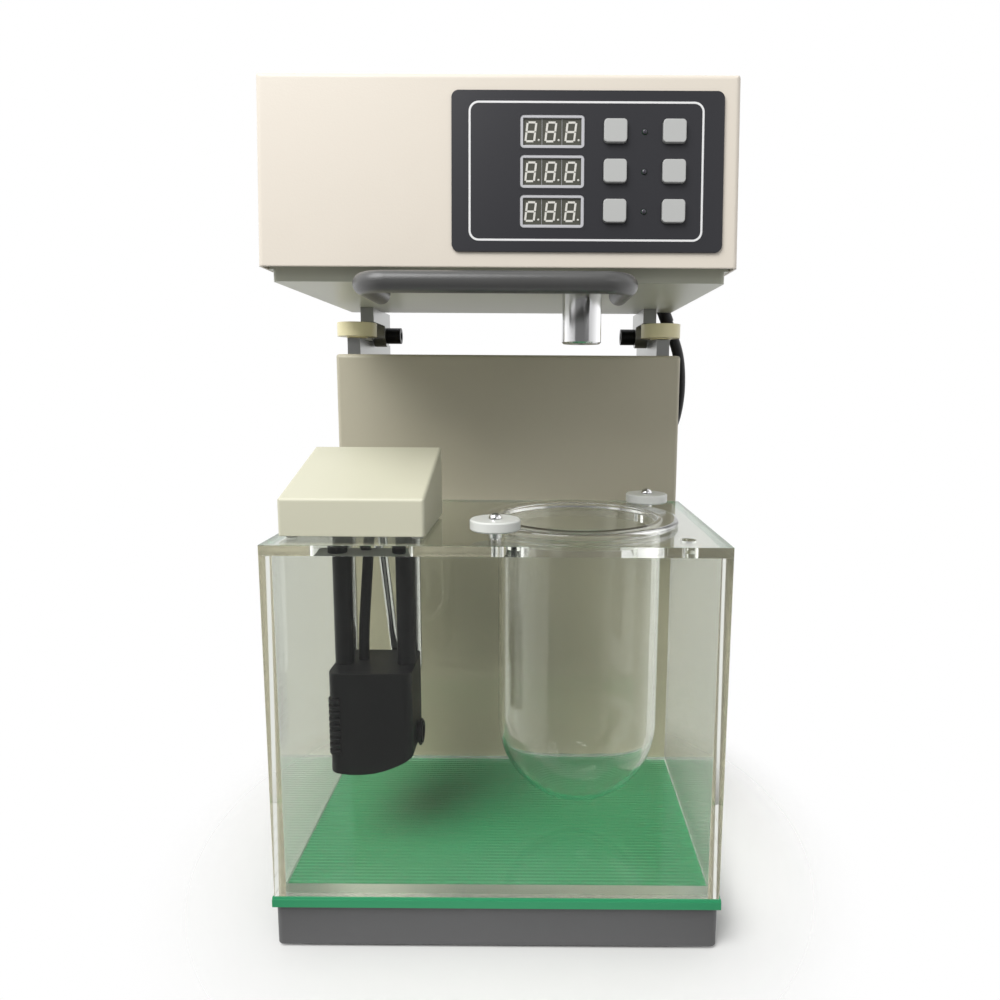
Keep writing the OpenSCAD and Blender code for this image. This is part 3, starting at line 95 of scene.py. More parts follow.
# %% Helpers
def new_mesh(name, verts, faces):
    """A mesh object at the origin from plain lists."""
    mesh = bpy.data.meshes.new(name)
    mesh.from_pydata([tuple(v) for v in verts], [], faces)
    mesh.update()
    obj = bpy.data.objects.new(name, mesh)
    scene.collection.objects.link(obj)
    return obj


def add_node(tree, kind, links=(), settings=None, **values):
    """A node with its settings, its inputs set by name and its links from other sockets."""
    node = tree.nodes.new(kind)
    for name, value in (settings or {}).items():
        setattr(node, name, value)
    for name, value in values.items():
        node.inputs[name.replace("_", " ")].default_value = value
    for socket, name in links:
        tree.links.new(socket, node.inputs[name])
    return node


def linear(hex_colour):
    """A hex colour as linear RGBA."""
    parts = [int(hex_colour[i:i + 2], 16) / 255 for i in (1, 3, 5)]
    return [c / 12.92 if c <= 0.04045 else ((c + 0.055) / 1.055) ** 2.4 for c in parts] + [1.0]


print("cream in linear light", [round(c, 3) for c in linear("#EEE5D7")])


# %% [markdown]
# A finish starts from what the real surface is and how it was made. Powder paint flows
# into a faint orange peel, moulded plastic copies the grain of its mould, and turned
# steel is bright. One function covers all of them: colour, roughness and metal on the
# shader's own sockets, a bevel in the shading that catches light on every edge, and,
# where the surface has a grain, a noise whose scale follows from the grain's size. A
# second, wider noise lets the gloss vary a little, as handling and cleaning leave it.

# %% Opaque finishes
MARK_MM = 24.0
BUMP_MM = 0.2
GLOSS_SPREAD = 0.05


def surface(name, colour, rough, metal=0.0, coat=0.0, shine=0.5, grain=0.0, grain_mm=1.0, edge_mm=0.3):
    """An opaque finish. The grain's width and the softened edge are in millimetres."""
    material = bpy.data.materials.new(name)
    material.use_nodes = True
    tree = material.node_tree
    shader = tree.nodes["Principled BSDF"]
    shader.inputs["Base Color"].default_value = linear(colour)
    shader.inputs["Roughness"].default_value = rough
    shader.inputs["Metallic"].default_value = metal
    shader.inputs["Coat Weight"].default_value = coat
    shader.inputs["Specular IOR Level"].default_value = shine
    normal = add_node(tree, "ShaderNodeBevel", Radius=edge_mm * MM).outputs["Normal"]
    if grain:
        place = add_node(tree, "ShaderNodeTexCoord")
        noise = add_node(tree, "ShaderNodeTexNoise", [(place.outputs["Object"], "Vector")],
                         Scale=1 / (grain_mm * MM), Detail=2.0)
        normal = add_node(tree, "ShaderNodeBump", [(noise.outputs["Fac"], "Height"), (normal, "Normal")],
                          Strength=grain, Distance=BUMP_MM * MM).outputs["Normal"]
        marks = add_node(tree, "ShaderNodeTexNoise", [(place.outputs["Object"], "Vector")],
                         Scale=1 / (MARK_MM * MM), Detail=3.0)
        gloss = add_node(tree, "ShaderNodeMapRange", [(marks.outputs["Fac"], "Value")], From_Min=0.3,
                         From_Max=0.7, To_Min=rough - GLOSS_SPREAD, To_Max=rough + GLOSS_SPREAD)
        tree.links.new(gloss.outputs["Result"], shader.inputs["Roughness"])
    tree.links.new(normal, shader.inputs["Normal"])
    return material


# Powder paint on folded steel: even, warm, half gloss, with an orange peel about 1 mm wide.
hood_paint = surface("cream powder paint", "#EAE1D3", 0.42, grain=0.22, grain_mm=1.1, edge_mm=1.2)
# The hood's cream powder paint, painted darker, cooler and greyer on the column as painted shade from the
# head above it.
shaded_column_paint = surface("cream paint with painted shade", "#CAC4AE", 0.4, grain=0.22, grain_mm=1.1, edge_mm=0.8)
# Satin enamel on a flat plate: it mirrors what stands below it only as soft patches.
plate_enamel = surface("pale satin enamel", "#CBCDBC", 0.34, shine=0.3)
# Coarse paint on the base: dark grey and matte, its texture hides finger marks.
base_paint = surface("grey textured paint", "#5C5C5D", 0.52, grain=0.5, grain_mm=0.7)
# The same coarse paint on a bent bar: the curve draws one long soft highlight.
handle_paint = surface("grey handle paint", "#535352", 0.34, shine=0.6, grain=0.4, grain_mm=0.6)
paints = [hood_paint, shaded_column_paint, plate_enamel, base_paint, handle_paint]
print("painted finishes:", ", ".join(paint.name for paint in paints))

# %% [markdown]
# Rubber and plastic carry their colour all through, so they need no layers. What tells
# them apart is gloss: extruded rubber has a dull sheen, moulded plastic a fine grain,
# and a printed film is smooth. Dark plastic reflects little straight on, so its specular
# level is low, and it stays dark under a white sky.

# %% Rubber and plastic
# Extruded rubber: strong even green, ribs with a dull sheen on their crests.
green_rubber = surface("green ribbed rubber", "#329867", 0.42, shine=0.35, edge_mm=0.2)
# Cable and grommet rubber: black, soft highlight.
black_rubber = surface("black rubber", "#151517", 0.5, shine=0.35)
# Moulded pump housing: black with the fine grain of an eroded mould.
black_plastic = surface("black moulded plastic", "#141416", 0.45, shine=0.3, grain=0.2, grain_mm=0.5,
                        edge_mm=0.8)
# Moulded heater cover: cream, half gloss, crisp edges.
cover_plastic = surface("cream moulded plastic", "#DDDBC4", 0.42, grain=0.12, grain_mm=0.8, edge_mm=0.9)
# Plain moulding in the machine's inside: pale grey and dull.
grey_plastic = surface("pale grey plastic", "#BDBDB6", 0.5)
# Turned nylon: yellowed by age, waxy, and painted lighter than its own colour, as painted light on discs that
# sit in the head's shade.
nylon = surface("yellowed nylon with painted light", "#FBF2C4", 0.38, edge_mm=0.5)
# Button caps: light grey, their soft edges catch the light.
button_plastic = surface("grey button plastic", "#C2C3C1", 0.42, edge_mm=0.9)
# Polyester film of the panel: near black with a blue cast, smooth.
panel_film = surface("dark panel film", "#2A2A2F", 0.4)
# Screen ink and display parts: flat colours behind a matte face.
panel_ink = surface("white panel ink", "#F0F0F0", 0.55)
display_case = surface("silver display case", "#CACACE", 0.38, edge_mm=0.5)
display_face = surface("olive display face", "#4F4F45", 0.4)
segment_white = surface("milky display segment", "#E4E2DA", 0.5)
lamp_resin = surface("unlit lamp resin", "#46434C", 0.2)
# Circuit board lacquer and transformer varnish, seen only with the covers off.
board_lacquer = surface("green board lacquer", "#2E6B3E", 0.35)
core_varnish = surface("brown core varnish", "#66594A", 0.5)
print("last plastic made:", core_varnish.name)

# %% [markdown]
# A metal has no colour of its own apart from its reflection, so its base colour is that
# reflection and its roughness says how it was worked: turned steel is bright and sharp,
# milled aluminium is satin, and black oxide is a thin dark skin on steel.

# %% Metals
# Turned and polished steel: sharp upright streaks of light and dark on a cylinder.
bright_steel = surface("turned steel", "#DADADB", 0.15, metal=1.0)
# Milled aluminium: satin, a little darker than steel, without a clear image.
satin_aluminium = surface("milled aluminium", "#AEAFAD", 0.34, metal=1.0, edge_mm=0.5)
# Black oxide: nearly black, with a dull metal sheen on the rims.
black_oxide = surface("black oxide steel", "#2B2B2E", 0.38, metal=0.8)
# The recess in a screw's head lies in its own shade.
recess_shade = surface("screw recess", "#2A2A2C", 0.6)
print("metals:", bright_steel.name, satin_aluminium.name, black_oxide.name, sep=", ")


# %% [markdown]
# Acrylic and glass are seen by what they bend and mirror. A see-through mix would be
# quick, but then the sheets lose their bright edges, so both are refracting solids with
# real walls: light enters the sheet, runs along it and leaves at the cut edge.

# %% Clear sheets and glass
ACRYLIC = ("#EBEDE7", 1.49)


def clear(name, colour, ior, edge_mm=0.0, sawn=0.0):
    """A clear solid that bends light. Its edges are softened, its upright faces as rough as sawn."""
    material = bpy.data.materials.new(name)
    material.use_nodes = True
    tree = material.node_tree
    shader = tree.nodes["Principled BSDF"]
    shader.inputs["Base Color"].default_value = linear(colour)
    shader.inputs["Roughness"].default_value = 0.0
    shader.inputs["IOR"].default_value = ior
    shader.inputs["Transmission Weight"].default_value = 1.0
    if edge_mm:
        bevel = add_node(tree, "ShaderNodeBevel", Radius=edge_mm * MM)
        tree.links.new(bevel.outputs["Normal"], shader.inputs["Normal"])
    if sawn:
        facing = add_node(tree, "ShaderNodeNewGeometry").outputs["True Normal"]
        height = add_node(tree, "ShaderNodeSeparateXYZ", [(facing, "Vector")]).outputs["Z"]
        steep = add_node(tree, "ShaderNodeMath", [(height, "Value")], settings={"operation": "ABSOLUTE"})
        rough = add_node(tree, "ShaderNodeMapRange", [(steep.outputs["Value"], "Value")], From_Min=0.4,
                         From_Max=0.6, To_Min=sawn, To_Max=0.0)
        tree.links.new(rough.outputs["Result"], shader.inputs["Roughness"])
    return material


# Cast acrylic sheet with polished edges: clear, the faintest green where it is deep.
clear_acrylic = clear("cast acrylic", *ACRYLIC, edge_mm=0.3)
# The same sheet with sawn edges, in the bath's floor: the edge scatters light and looks white.
sawn_acrylic = clear("sawn acrylic", *ACRYLIC, sawn=0.5)
# Blown borosilicate: colourless, drawn by the bright lines at its sides and rim.
clear_glass = clear("blown borosilicate", "#FDFDFD", 1.47)
# Sawn acrylic discs: the saw leaves a white frost that scatters the light.
frosted_acrylic = surface("frosted acrylic", "#E9EBE6", 0.4, coat=0.2, edge_mm=0.6)
print("clear:", clear_acrylic.name, sawn_acrylic.name, clear_glass.name, sep=", ")

# %% [markdown]
# Each solid is one real piece of one material, so it is painted as a whole. A table
# from finish to pieces keeps the choice in one place and shows at once which pieces
# share a finish.

# %% Paint the frame
FINISH = {
    hood_paint: ["head_hood"],
    shaded_column_paint: ["column_shell", "column_back_panel"],
    plate_enamel: ["head_plate"],
    base_paint: ["base_tray", "base_bottom_plate"],
    handle_paint: ["handle"],
    green_rubber: ["rubber_mat"],
    black_rubber: ["rubber_feet", "pump_cable", "drive_belt", "head_gland", "column_gland", "head_cable"],
    black_plastic: ["power_inlet", "switch_bezel", "power_rocker", "pump_tubes", "pump_body", "pump_grille",
                    "pump_outlet"],
    satin_aluminium: ["hinge_rails", "head_brackets", "motor_pulley", "spindle_pulley", "bearing_housing"],
    bright_steel: ["back_panel_screws", "level_studs", "clamp_screws", "clamp_spacers", "heater_element",
                   "temperature_probe", "head_screws", "motor", "spindle_shaft", "spindle_bearings", "chuck"],
    black_oxide: ["pivot_screws"],
    nylon: ["level_disc_left", "level_disc_right"],
    cover_plastic: ["heater_cover"],
    grey_plastic: ["heater_carrier", "pump_impeller"],
    button_plastic: ["button_%d" % i for i in range(1, 7)],
    display_case: ["digit_displays"],
    panel_film: ["control_panel"],
    board_lacquer: ["power_board", "display_board"],
    core_varnish: ["transformer"],
    clear_acrylic: ["bath_walls", "bath_lid"],
    sawn_acrylic: ["bath_floor"],
    clear_glass: ["vessel"],
    frosted_acrylic: ["clamp_disc_front", "clamp_disc_rear"],
}
for material, names in FINISH.items():
    for name in names:
        mesh = nodes[name].data
        mesh.materials.clear()
        mesh.materials.append(material)
print(sum(len(names) for names in FINISH.values()), "of", len(nodes), "solids painted")

# %% [markdown]
# The vessel is blown, and its rim is melted smooth in a flame, so no edge on it is sharp.
# A lathe suits it: half a section, drawn up the outside, round the flange and back down
# the inside, is turned about the vessel's axis. The flange clears the lid by a hair,
# because two clear faces in one place confuse the light between them.

# %% Lathed vessel
OUTER_R, INNER_R = 53.5, 51.0
FLANGE_LOW, FLANGE_TOP = 188.55, 193.0
RIM_AT = 62.75
FILLET_R, LIP_R = 0.8, 1.25
low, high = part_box("vessel")
vessel_axis = Vector(((low[0] + high[0]) / 2, (low[1] + high[1]) / 2, low[2]))


def arc(across, up, radius, start, stop, steps):
    """Points on an arc of a section, the angles in degrees from the outward direction."""
    angles = [math.radians(start + (stop - start) * k / steps) for k in range(steps + 1)]
    return [(across + radius * math.cos(a), up + radius * math.sin(a)) for a in angles]


def lathe(name, axis, section, sides):
    """A section in millimetres, turned about an upright axis and shaded smooth."""
    verts, faces, rings = [], [], []
    for across, up in section:
        count = 1 if across < 0.001 else sides
        rings.append([len(verts) + k % count for k in range(sides)])
        for k in range(count):
            a = 2 * math.pi * k / sides
            verts.append(axis + Vector((across * math.cos(a), across * math.sin(a), up)) * MM)
    for below, above in zip(rings, rings[1:]):
        for k in range(sides):
            j = (k + 1) % sides
            faces.append(tuple(dict.fromkeys((below[k], below[j], above[j], above[k]))))
    obj = new_mesh(name, verts, faces)
    obj.data.polygons.foreach_set("use_smooth", [True] * len(faces))
    return obj


# Each straight run starts and ends a little off the arcs, so that smooth shading stays in the bends.
section = (arc(0, OUTER_R, OUTER_R, -90, 0, steps=28)
           + [(OUTER_R, 54.0), (OUTER_R, 187.0)]
           + arc(OUTER_R + FILLET_R, FLANGE_LOW - FILLET_R, FILLET_R, 180, 90, steps=5)
           + [(55.0, FLANGE_LOW), (62.0, FLANGE_LOW)]
           + arc(RIM_AT, (FLANGE_LOW + FLANGE_TOP) / 2, (FLANGE_TOP - FLANGE_LOW) / 2, -90, 90, steps=14)
           + [(62.0, FLANGE_TOP), (53.0, FLANGE_TOP)]
           + arc(INNER_R + LIP_R, FLANGE_TOP - LIP_R, LIP_R, 90, 180, steps=7)
           + [(INNER_R, 191.0), (INNER_R, 54.0)]
           + arc(0, OUTER_R, INNER_R, 0, -90, steps=28))
blown_vessel = lathe("blown_vessel", vessel_axis, section, sides=112)
blown_vessel.data.materials.append(clear_glass)
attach(blown_vessel, "base")
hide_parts("vessel")
print("vessel of", len(blown_vessel.data.polygons), "faces from a section of", len(section), "points")

# %% [markdown]
# Clear sheets cast almost no shadow, but a path tracer finds the light that was bent on
# its way in only by chance, and the bath would be dark inside. So the clear pieces are
# left out of the shadow rays. They still bend and mirror whatever is seen through them.

# %% Clear pieces cast no shadow
clear_pieces = [nodes[name] for name in ("bath_walls", "bath_floor", "bath_lid")] + [blown_vessel]
for piece in clear_pieces:
    piece.visible_shadow = False
print("without a shadow:", ", ".join(piece.name for piece in clear_pieces))


# %% [markdown]
# The cable hangs free between the head and the column and bends when the head tilts.
# A curve with a bevel would draw it, but here the cord is a mesh: a smooth line goes
# through a few given points, and a ring of points is laid round it at every step.

# %% Head cable
ROUTE = [
    (128.0, 67.0, 389.0), (130.0, 68.4, 384.8), (132.6, 70.4, 379.4), (135.3, 72.9, 373.8),
    (138.0, 75.8, 367.6), (140.4, 78.9, 360.4), (142.2, 82.0, 351.8), (143.3, 84.7, 342.4),
    (143.7, 86.9, 332.6), (143.2, 88.6, 322.8), (141.9, 89.8, 313.6), (140.2, 90.4, 306.8),
    (138.0, 90.6, 301.0),
]
CABLE_R = 4.45 * MM


def smooth_line(points, steps):
    """Points on a curve through the given ones (Catmull-Rom)."""
    p = [Vector(points[0])] + [Vector(q) for q in points] + [Vector(points[-1])]
    line = []
    for i in range(1, len(p) - 2):
        for k in range(steps):
            t = k / steps
            a, b, c, d = p[i - 1:i + 3]
            line.append(0.5 * (2 * b + (c - a) * t + (2 * a - 5 * b + 4 * c - d) * t ** 2
                               + (3 * b - a - 3 * c + d) * t ** 3))
    return line + [p[-1]]


def tube(name, line, radius, sides):
    """A round tube along a line, closed at both ends and shaded smooth."""
    verts, faces = [], []
    for i, point in enumerate(line):
        ahead = (line[min(i + 1, len(line) - 1)] - line[max(i - 1, 0)]).normalized()
        across = ahead.cross(Vector((0, 1, 0))).normalized()
        up = ahead.cross(across)
        for k in range(sides):
            a = 2 * math.pi * k / sides
            verts.append(point + radius * (math.cos(a) * across + math.sin(a) * up))
    for i in range(len(line) - 1):
        for k in range(sides):
            a, b = i * sides + k, i * sides + (k + 1) % sides
            faces.append((a, b, b + sides, a + sides))
    faces.append(tuple(reversed(range(sides))))
    faces.append(tuple(range(len(verts) - sides, len(verts))))
    obj = new_mesh(name, verts, faces)
    obj.data.polygons.foreach_set("use_smooth", [True] * len(faces))
    obj.data.materials.append(black_rubber)
    return obj


line = [q * MM for q in smooth_line(ROUTE, steps=5)]
cable = tube("head_cable_smooth", line, CABLE_R, sides=20)
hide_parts("head_cable")
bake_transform(cable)


# %% [markdown]
# The control panel is a film on the head's front, and the front leans back a little.
# It is easiest to lay everything out upright round the panel's middle and to lean the
# finished piece once, about that middle. The first thing on the film is its printed
# border, a thin flat ring with round corners.

# %% Panel border
FRONT_SLOPE = math.radians(4.4)
FILM_T = 1.2 * MM
LAYER_T = 0.05 * MM
INK_OUT = 0.04 * MM
BORDER_LEFT = 0.8 * MM
BORDER_OUTSIDE = (129.5, 75.4, 5.5)
BORDER_INSIDE = (127.2, 73.1, 4.4)
low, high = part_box("control_panel")
panel_mid = (Vector(low) + Vector(high)) / 2
film_front = panel_mid.y - FILM_T / 2


def on_front(obj):
    """Leans an upright piece back about the panel's middle and lets it ride on the head."""
    turn = Matrix.Rotation(-FRONT_SLOPE, 4, "X")
    obj.data.transform(Matrix.Translation(panel_mid) @ turn @ Matrix.Translation(-panel_mid))
    obj.data.update()
    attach(obj, "head")
    return obj


def rounded_loop(width, height, radius, steps=8):
    """Points of a rounded rectangle round the origin, in x and z, in millimetres."""
    points = []
    for sx, sz, turn in ((1, 1, 0), (-1, 1, 90), (-1, -1, 180), (1, -1, 270)):
        for k in range(steps + 1):
            a = math.radians(turn + 90 * k / steps)
            points.append((sx * (width / 2 - radius) + radius * math.cos(a),
                           sz * (height / 2 - radius) + radius * math.sin(a)))
    return points


def flat_rings(name, middles, outer, inner, front, thick, material):
    """Flat rings between two loops of equal length, facing -Y, round middles given in x and z."""
    verts, faces = [], []
    n = len(outer)
    for mx, mz in middles:
        a = len(verts)
        b, c, d = a + n, a + 2 * n, a + 3 * n
        for y in (front, front + thick):
            for loop in (outer, inner):
                verts += [(mx + x * MM, y, mz + z * MM) for x, z in loop]
        for k in range(n):
            j = (k + 1) % n
            faces += [(a + j, a + k, b + k, b + j), (c + k, c + j, d + j, d + k),
                      (a + k, a + j, c + j, c + k), (b + j, b + k, d + k, d + j)]
    obj = new_mesh(name, verts, faces)
    obj.data.materials.append(material)
    return obj


border = flat_rings("panel_border", [(panel_mid.x - BORDER_LEFT, panel_mid.z)],
                    rounded_loop(*BORDER_OUTSIDE), rounded_loop(*BORDER_INSIDE), film_front - INK_OUT,
                    LAYER_T, panel_ink)
on_front(border)
print("border round", [round(v / MM, 1) for v in panel_mid], "mm")

# %% [markdown]
# Display segments, dividers and screw recesses are all small bars, and the points and
# lamps are small balls. Copying them one by one would work, but a node tree lays the same
# shape on every point of a mesh and turns it by an attribute that the point carries. Its
# sizes are named inputs, so one tree serves all bars and another all balls. Both end in
# real meshes, because instances don't leave Blender.

# %% Shapes on points
FLAT = (0.0, 0.0, 0.0)
BAR_SIZES = ("Length", "Width", "Depth")
BALL_SIZES = ("Radius",)
FLATTENED = (1.0, 0.6, 1.0)


def bar_shape(tree, given):
    """The nodes of a bar. Returns the socket that carries its mesh."""
    size = add_node(tree, "ShaderNodeCombineXYZ", [(given["Length"], "X"), (given["Depth"], "Y"),
                                                   (given["Width"], "Z")])
    return add_node(tree, "GeometryNodeMeshCube", [(size.outputs["Vector"], "Size")]).outputs["Mesh"]


def ball_shape(tree, given):
    """The nodes of a smooth ball. Returns the socket that carries its mesh."""
    ball = add_node(tree, "GeometryNodeMeshUVSphere", [(given["Radius"], "Radius")], Segments=20, Rings=10)
    smooth = add_node(tree, "GeometryNodeSetShadeSmooth", [(ball.outputs["Mesh"], "Geometry")])
    return smooth.outputs["Geometry"]


def points_tree(title, sizes, shape, scale=(1.0, 1.0, 1.0)):
    """A tree that lays a shape on every point, turned by the point's attribute "turn"."""
    tree = bpy.data.node_groups.new(title, "GeometryNodeTree")
    kinds = {"Geometry": "NodeSocketGeometry", **{name: "NodeSocketFloat" for name in sizes},
             "Material": "NodeSocketMaterial"}
    for name, kind in kinds.items():
        tree.interface.new_socket(name, in_out="INPUT", socket_type=kind)
    tree.interface.new_socket("Geometry", in_out="OUTPUT", socket_type="NodeSocketGeometry")
    given = tree.nodes.new("NodeGroupInput").outputs
    turn = add_node(tree, "GeometryNodeInputNamedAttribute", settings={"data_type": "FLOAT_VECTOR"},
                    Name="turn")
    laid = add_node(tree, "GeometryNodeInstanceOnPoints", [
        (given["Geometry"], "Points"), (shape(tree, given), "Instance"),
        (turn.outputs["Attribute"], "Rotation")], Scale=scale)
    real = add_node(tree, "GeometryNodeRealizeInstances", [(laid.outputs["Instances"], "Geometry")])
    painted = add_node(tree, "GeometryNodeSetMaterial", [(real.outputs["Geometry"], "Geometry"),
                                                         (given["Material"], "Material")])
    out = tree.nodes.new("NodeGroupOutput")
    tree.links.new(painted.outputs["Geometry"], out.inputs["Geometry"])
    return tree


def grown(name, points, turns, tree, inputs):
    """The mesh that a tree makes on points, as a plain object."""
    seed = new_mesh(name + "_points", points, [])
    turn = seed.data.attributes.new("turn", "FLOAT_VECTOR", "POINT")
    turn.data.foreach_set("vector", [v for t in turns for v in t])
    modifier = seed.modifiers.new("grow", "NODES")
    modifier.node_group = tree
    for item in tree.interface.items_tree:
        if item.in_out == "INPUT" and item.name in inputs:
            modifier[item.identifier] = inputs[item.name]
    seed.update_tag()
    bpy.context.view_layer.update()
    mesh = bpy.data.meshes.new_from_object(seed.evaluated_get(bpy.context.evaluated_depsgraph_get()))
    bpy.data.objects.remove(seed)
    obj = bpy.data.objects.new(name, mesh)
    scene.collection.objects.link(obj)
    print(name, "has", len(points), "copies and", len(mesh.polygons), "faces")
    return obj


BAR_TREE = points_tree("bars on points", BAR_SIZES, bar_shape)
BALL_TREE = points_tree("balls on points", BALL_SIZES, ball_shape, scale=FLATTENED)


def bars(name, points, turns, size_mm, material):
    """Bars of one size (length, width, depth in mm) on points."""
    sizes = {label: size * MM for label, size in zip(BAR_SIZES, size_mm)}
    return grown(name, points, turns, BAR_TREE, {**sizes, "Material": material})


def balls(name, points, radius, material):
    """Flattened balls of one radius on points."""
    return grown(name, points, [FLAT] * len(points), BALL_TREE, {"Radius": radius, "Material": material})


print("sizes of a bar:", ", ".join(BAR_SIZES))

# %% [markdown]
# Each display is a silver case behind a window of the film, and the window has round
# corners. So a narrow ring of film lies over the edge of each case.

# %% Display windows
ROW_STEP = 21.5 * MM
WINDOW_OUTSIDE = (37, 19.5, 1.0)
WINDOW_INSIDE = (35.3, 17.8, 2.2)
WINDOW_OUT = 0.03 * MM
low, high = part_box("digit_displays")
display_x = (low[0] + high[0]) / 2
rows = [panel_mid.z + ROW_STEP * k for k in (1, 0, -1)]
windows = flat_rings("display_windows", [(display_x, row) for row in rows], rounded_loop(*WINDOW_OUTSIDE),
                     rounded_loop(*WINDOW_INSIDE), film_front - WINDOW_OUT, LAYER_T, panel_film)
on_front(windows)
print("windows at", round(display_x / MM, 1), "mm")

# %% [markdown]
# Each display shows three unlit figure eights. A font would have to be a special one,
# while an eight is only seven bars, so the bars are laid on their midpoints: three flat
# and four upright, sheared to lean to the right, with a thin line between the digits.
# They lie on an olive face sunk into the silver case.

# %% Digits
FACE_DEEP = 1.0 * MM
SEGMENT_OUT, DOT_OUT, FACE_OUT = 0.12 * MM, 0.1 * MM, 0.03 * MM
DIGIT_X = (-11.8, -0.8, 10.2)
DIVIDER_X = (-5.7, 5.3)
DOT_RIGHT, DOT_LOW = 4.35, 4.4
HALF_W, HALF_H, LEAN = 2.4, 5.05, math.radians(6.7)
UPRIGHT = (0.0, math.pi / 2 + LEAN, 0.0)
ACROSS = (0.0, math.pi / 2, 0.0)
FLAT_BAR, UPRIGHT_BAR = (4.0, 1.15, 0.1), (4.6, 1.15, 0.1)
DIVIDER_BAR, FACE_BAR = (13.8, 0.2, 0.06), (32.0, 14.5, 0.06)
face_y = film_front + FACE_DEEP


def on_display(across, out, row, up):
    """A place on a display's face, across and up from its middle in millimetres."""
    return (display_x + across * MM, face_y - out, row + up * MM)


flat_points, upright_points, dot_points, divider_points = [], [], [], []
for row in rows:
    for digit in DIGIT_X:
        for h in (-1, 0, 1):
            across = digit + h * HALF_H * math.tan(LEAN)
            flat_points.append(on_display(across, SEGMENT_OUT, row, h * HALF_H))
        for s in (-1, 1):
            for h in (-0.5, 0.5):
                across = digit + s * HALF_W + h * HALF_H * math.tan(LEAN)
                upright_points.append(on_display(across, SEGMENT_OUT, row, h * HALF_H))
        dot_points.append(on_display(digit + DOT_RIGHT, DOT_OUT, row, -DOT_LOW))
    divider_points += [on_display(x, DOT_OUT, row, 0) for x in DIVIDER_X]
face_points = [on_display(0, FACE_OUT, row, 0) for row in rows]
flats = bars("display_flat_segments", flat_points, [FLAT] * len(flat_points), FLAT_BAR, segment_white)
uprights = bars("display_upright_segments", upright_points, [UPRIGHT] * len(upright_points), UPRIGHT_BAR,
                segment_white)
dividers = bars("display_dividers", divider_points, [ACROSS] * len(divider_points), DIVIDER_BAR, display_case)
faces = bars("display_faces", face_points, [FLAT] * len(face_points), FACE_BAR, display_face)
for piece in (flats, uprights, dividers, faces):
    on_front(piece)

# %% [markdown]
# The points after the digits are round, and so are the three lamps, resin domes that
# just break the film's surface. Both repeat, so the tree of balls sets one on each of
# their places.

# %% Points and lamps
DOT_R = 0.62 * MM
LAMP_X = 80.8 * MM
LAMP_R = 1.35 * MM
LAMP_OUT = 0.3 * MM
dots = balls("display_points", dot_points, DOT_R, segment_white)
on_front(dots)
lamps = balls("lamp_domes", [(LAMP_X, film_front - LAMP_OUT, row) for row in rows], LAMP_R, lamp_resin)
on_front(lamps)

# %% [markdown]
# The screws of the back panel and the hood have cross recesses. Cutting them would touch
# the solids, and at this size only their shade shows, so two dark bars cross on each
# head, laid by the same tree. The hood's screws tilt with the head, the others stay.

# %% Screw recesses
HEAD_R = 3.0 * MM
MIDDLE_UP = 1.0 * MM
SIDE_Y, SIDE_Z = (-85.4, 44.6), 409.8
RECESS_BAR = (3.2, 0.7, 0.04)
BACK_CROSS = [(0.0, math.pi / 4, 0.0), (0.0, -math.pi / 4, 0.0)]
SIDE_CROSS = [(math.pi / 4, 0.0, math.pi / 2), (-math.pi / 4, 0.0, math.pi / 2)]


def recesses(name, points, cross):
    """Two dark bars on each point, turned as the cross says."""
    turns = [turn for turn in cross for _ in points]
    return bars(name, points * len(cross), turns, RECESS_BAR, recess_shade)


low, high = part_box("back_panel_screws")
back_z = [low[2] + HEAD_R, (low[2] + high[2]) / 2 + MIDDLE_UP, high[2] - HEAD_R]
back_points = [(x, high[1], z) for x in (low[0] + HEAD_R, high[0] - HEAD_R) for z in back_z]
low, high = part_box("head_screws")
side_points = [(x, y * MM, SIDE_Z * MM) for x in (low[0], high[0]) for y in SIDE_Y]
back_marks = recesses("back_screw_recesses", back_points, BACK_CROSS)
side_marks = recesses("hood_screw_recesses", side_points, SIDE_CROSS)
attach(back_marks, "base")
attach(side_marks, "head")

# %% [markdown]
# The stage is a pale floor in a white room. One large lamp stands high at the front
# left, so the column lies in the shade of the head, and a weak one opens the shadows at
# the right. The room lights the piece softly, looks white to the camera and through the
# glass, and is darker on the camera's side, so that metal and glass have something dark
# to mirror.

# %% Floor and lamps
FADE_FROM, FADE_TO = 0.15, 0.26
FADE_FORWARD = 0.02
FLOOR_HALF = 1.0


def floor_finish():
    """Matte white paper that fades into the white room round the object."""
    material = bpy.data.materials.new("white paper")
    material.use_nodes = True
    tree = material.node_tree
    paper = tree.nodes["Principled BSDF"]
    paper.inputs["Base Color"].default_value = linear("#F2F2F0")
    paper.inputs["Roughness"].default_value = 0.9
    paper.inputs["Specular IOR Level"].default_value = 0.0
    place = add_node(tree, "ShaderNodeTexCoord").outputs["Object"]
    centred = add_node(tree, "ShaderNodeMapping", [(place, "Vector")], Location=(0, FADE_FORWARD, 0))
    away = add_node(tree, "ShaderNodeVectorMath", settings={"operation": "LENGTH"})
    tree.links.new(centred.outputs["Vector"], away.inputs[0])
    fade = add_node(tree, "ShaderNodeMapRange", [(away.outputs["Value"], "Value")],
                    settings={"interpolation_type": "SMOOTHSTEP"}, From_Min=FADE_FROM, From_Max=FADE_TO)
    room = add_node(tree, "ShaderNodeBsdfTransparent")
    mix = add_node(tree, "ShaderNodeMixShader")
    tree.links.new(fade.outputs["Result"], mix.inputs[0])
    tree.links.new(paper.outputs["BSDF"], mix.inputs[1])
    tree.links.new(room.outputs["BSDF"], mix.inputs[2])
    tree.links.new(mix.outputs["Shader"], tree.nodes["Material Output"].inputs["Surface"])
    return material


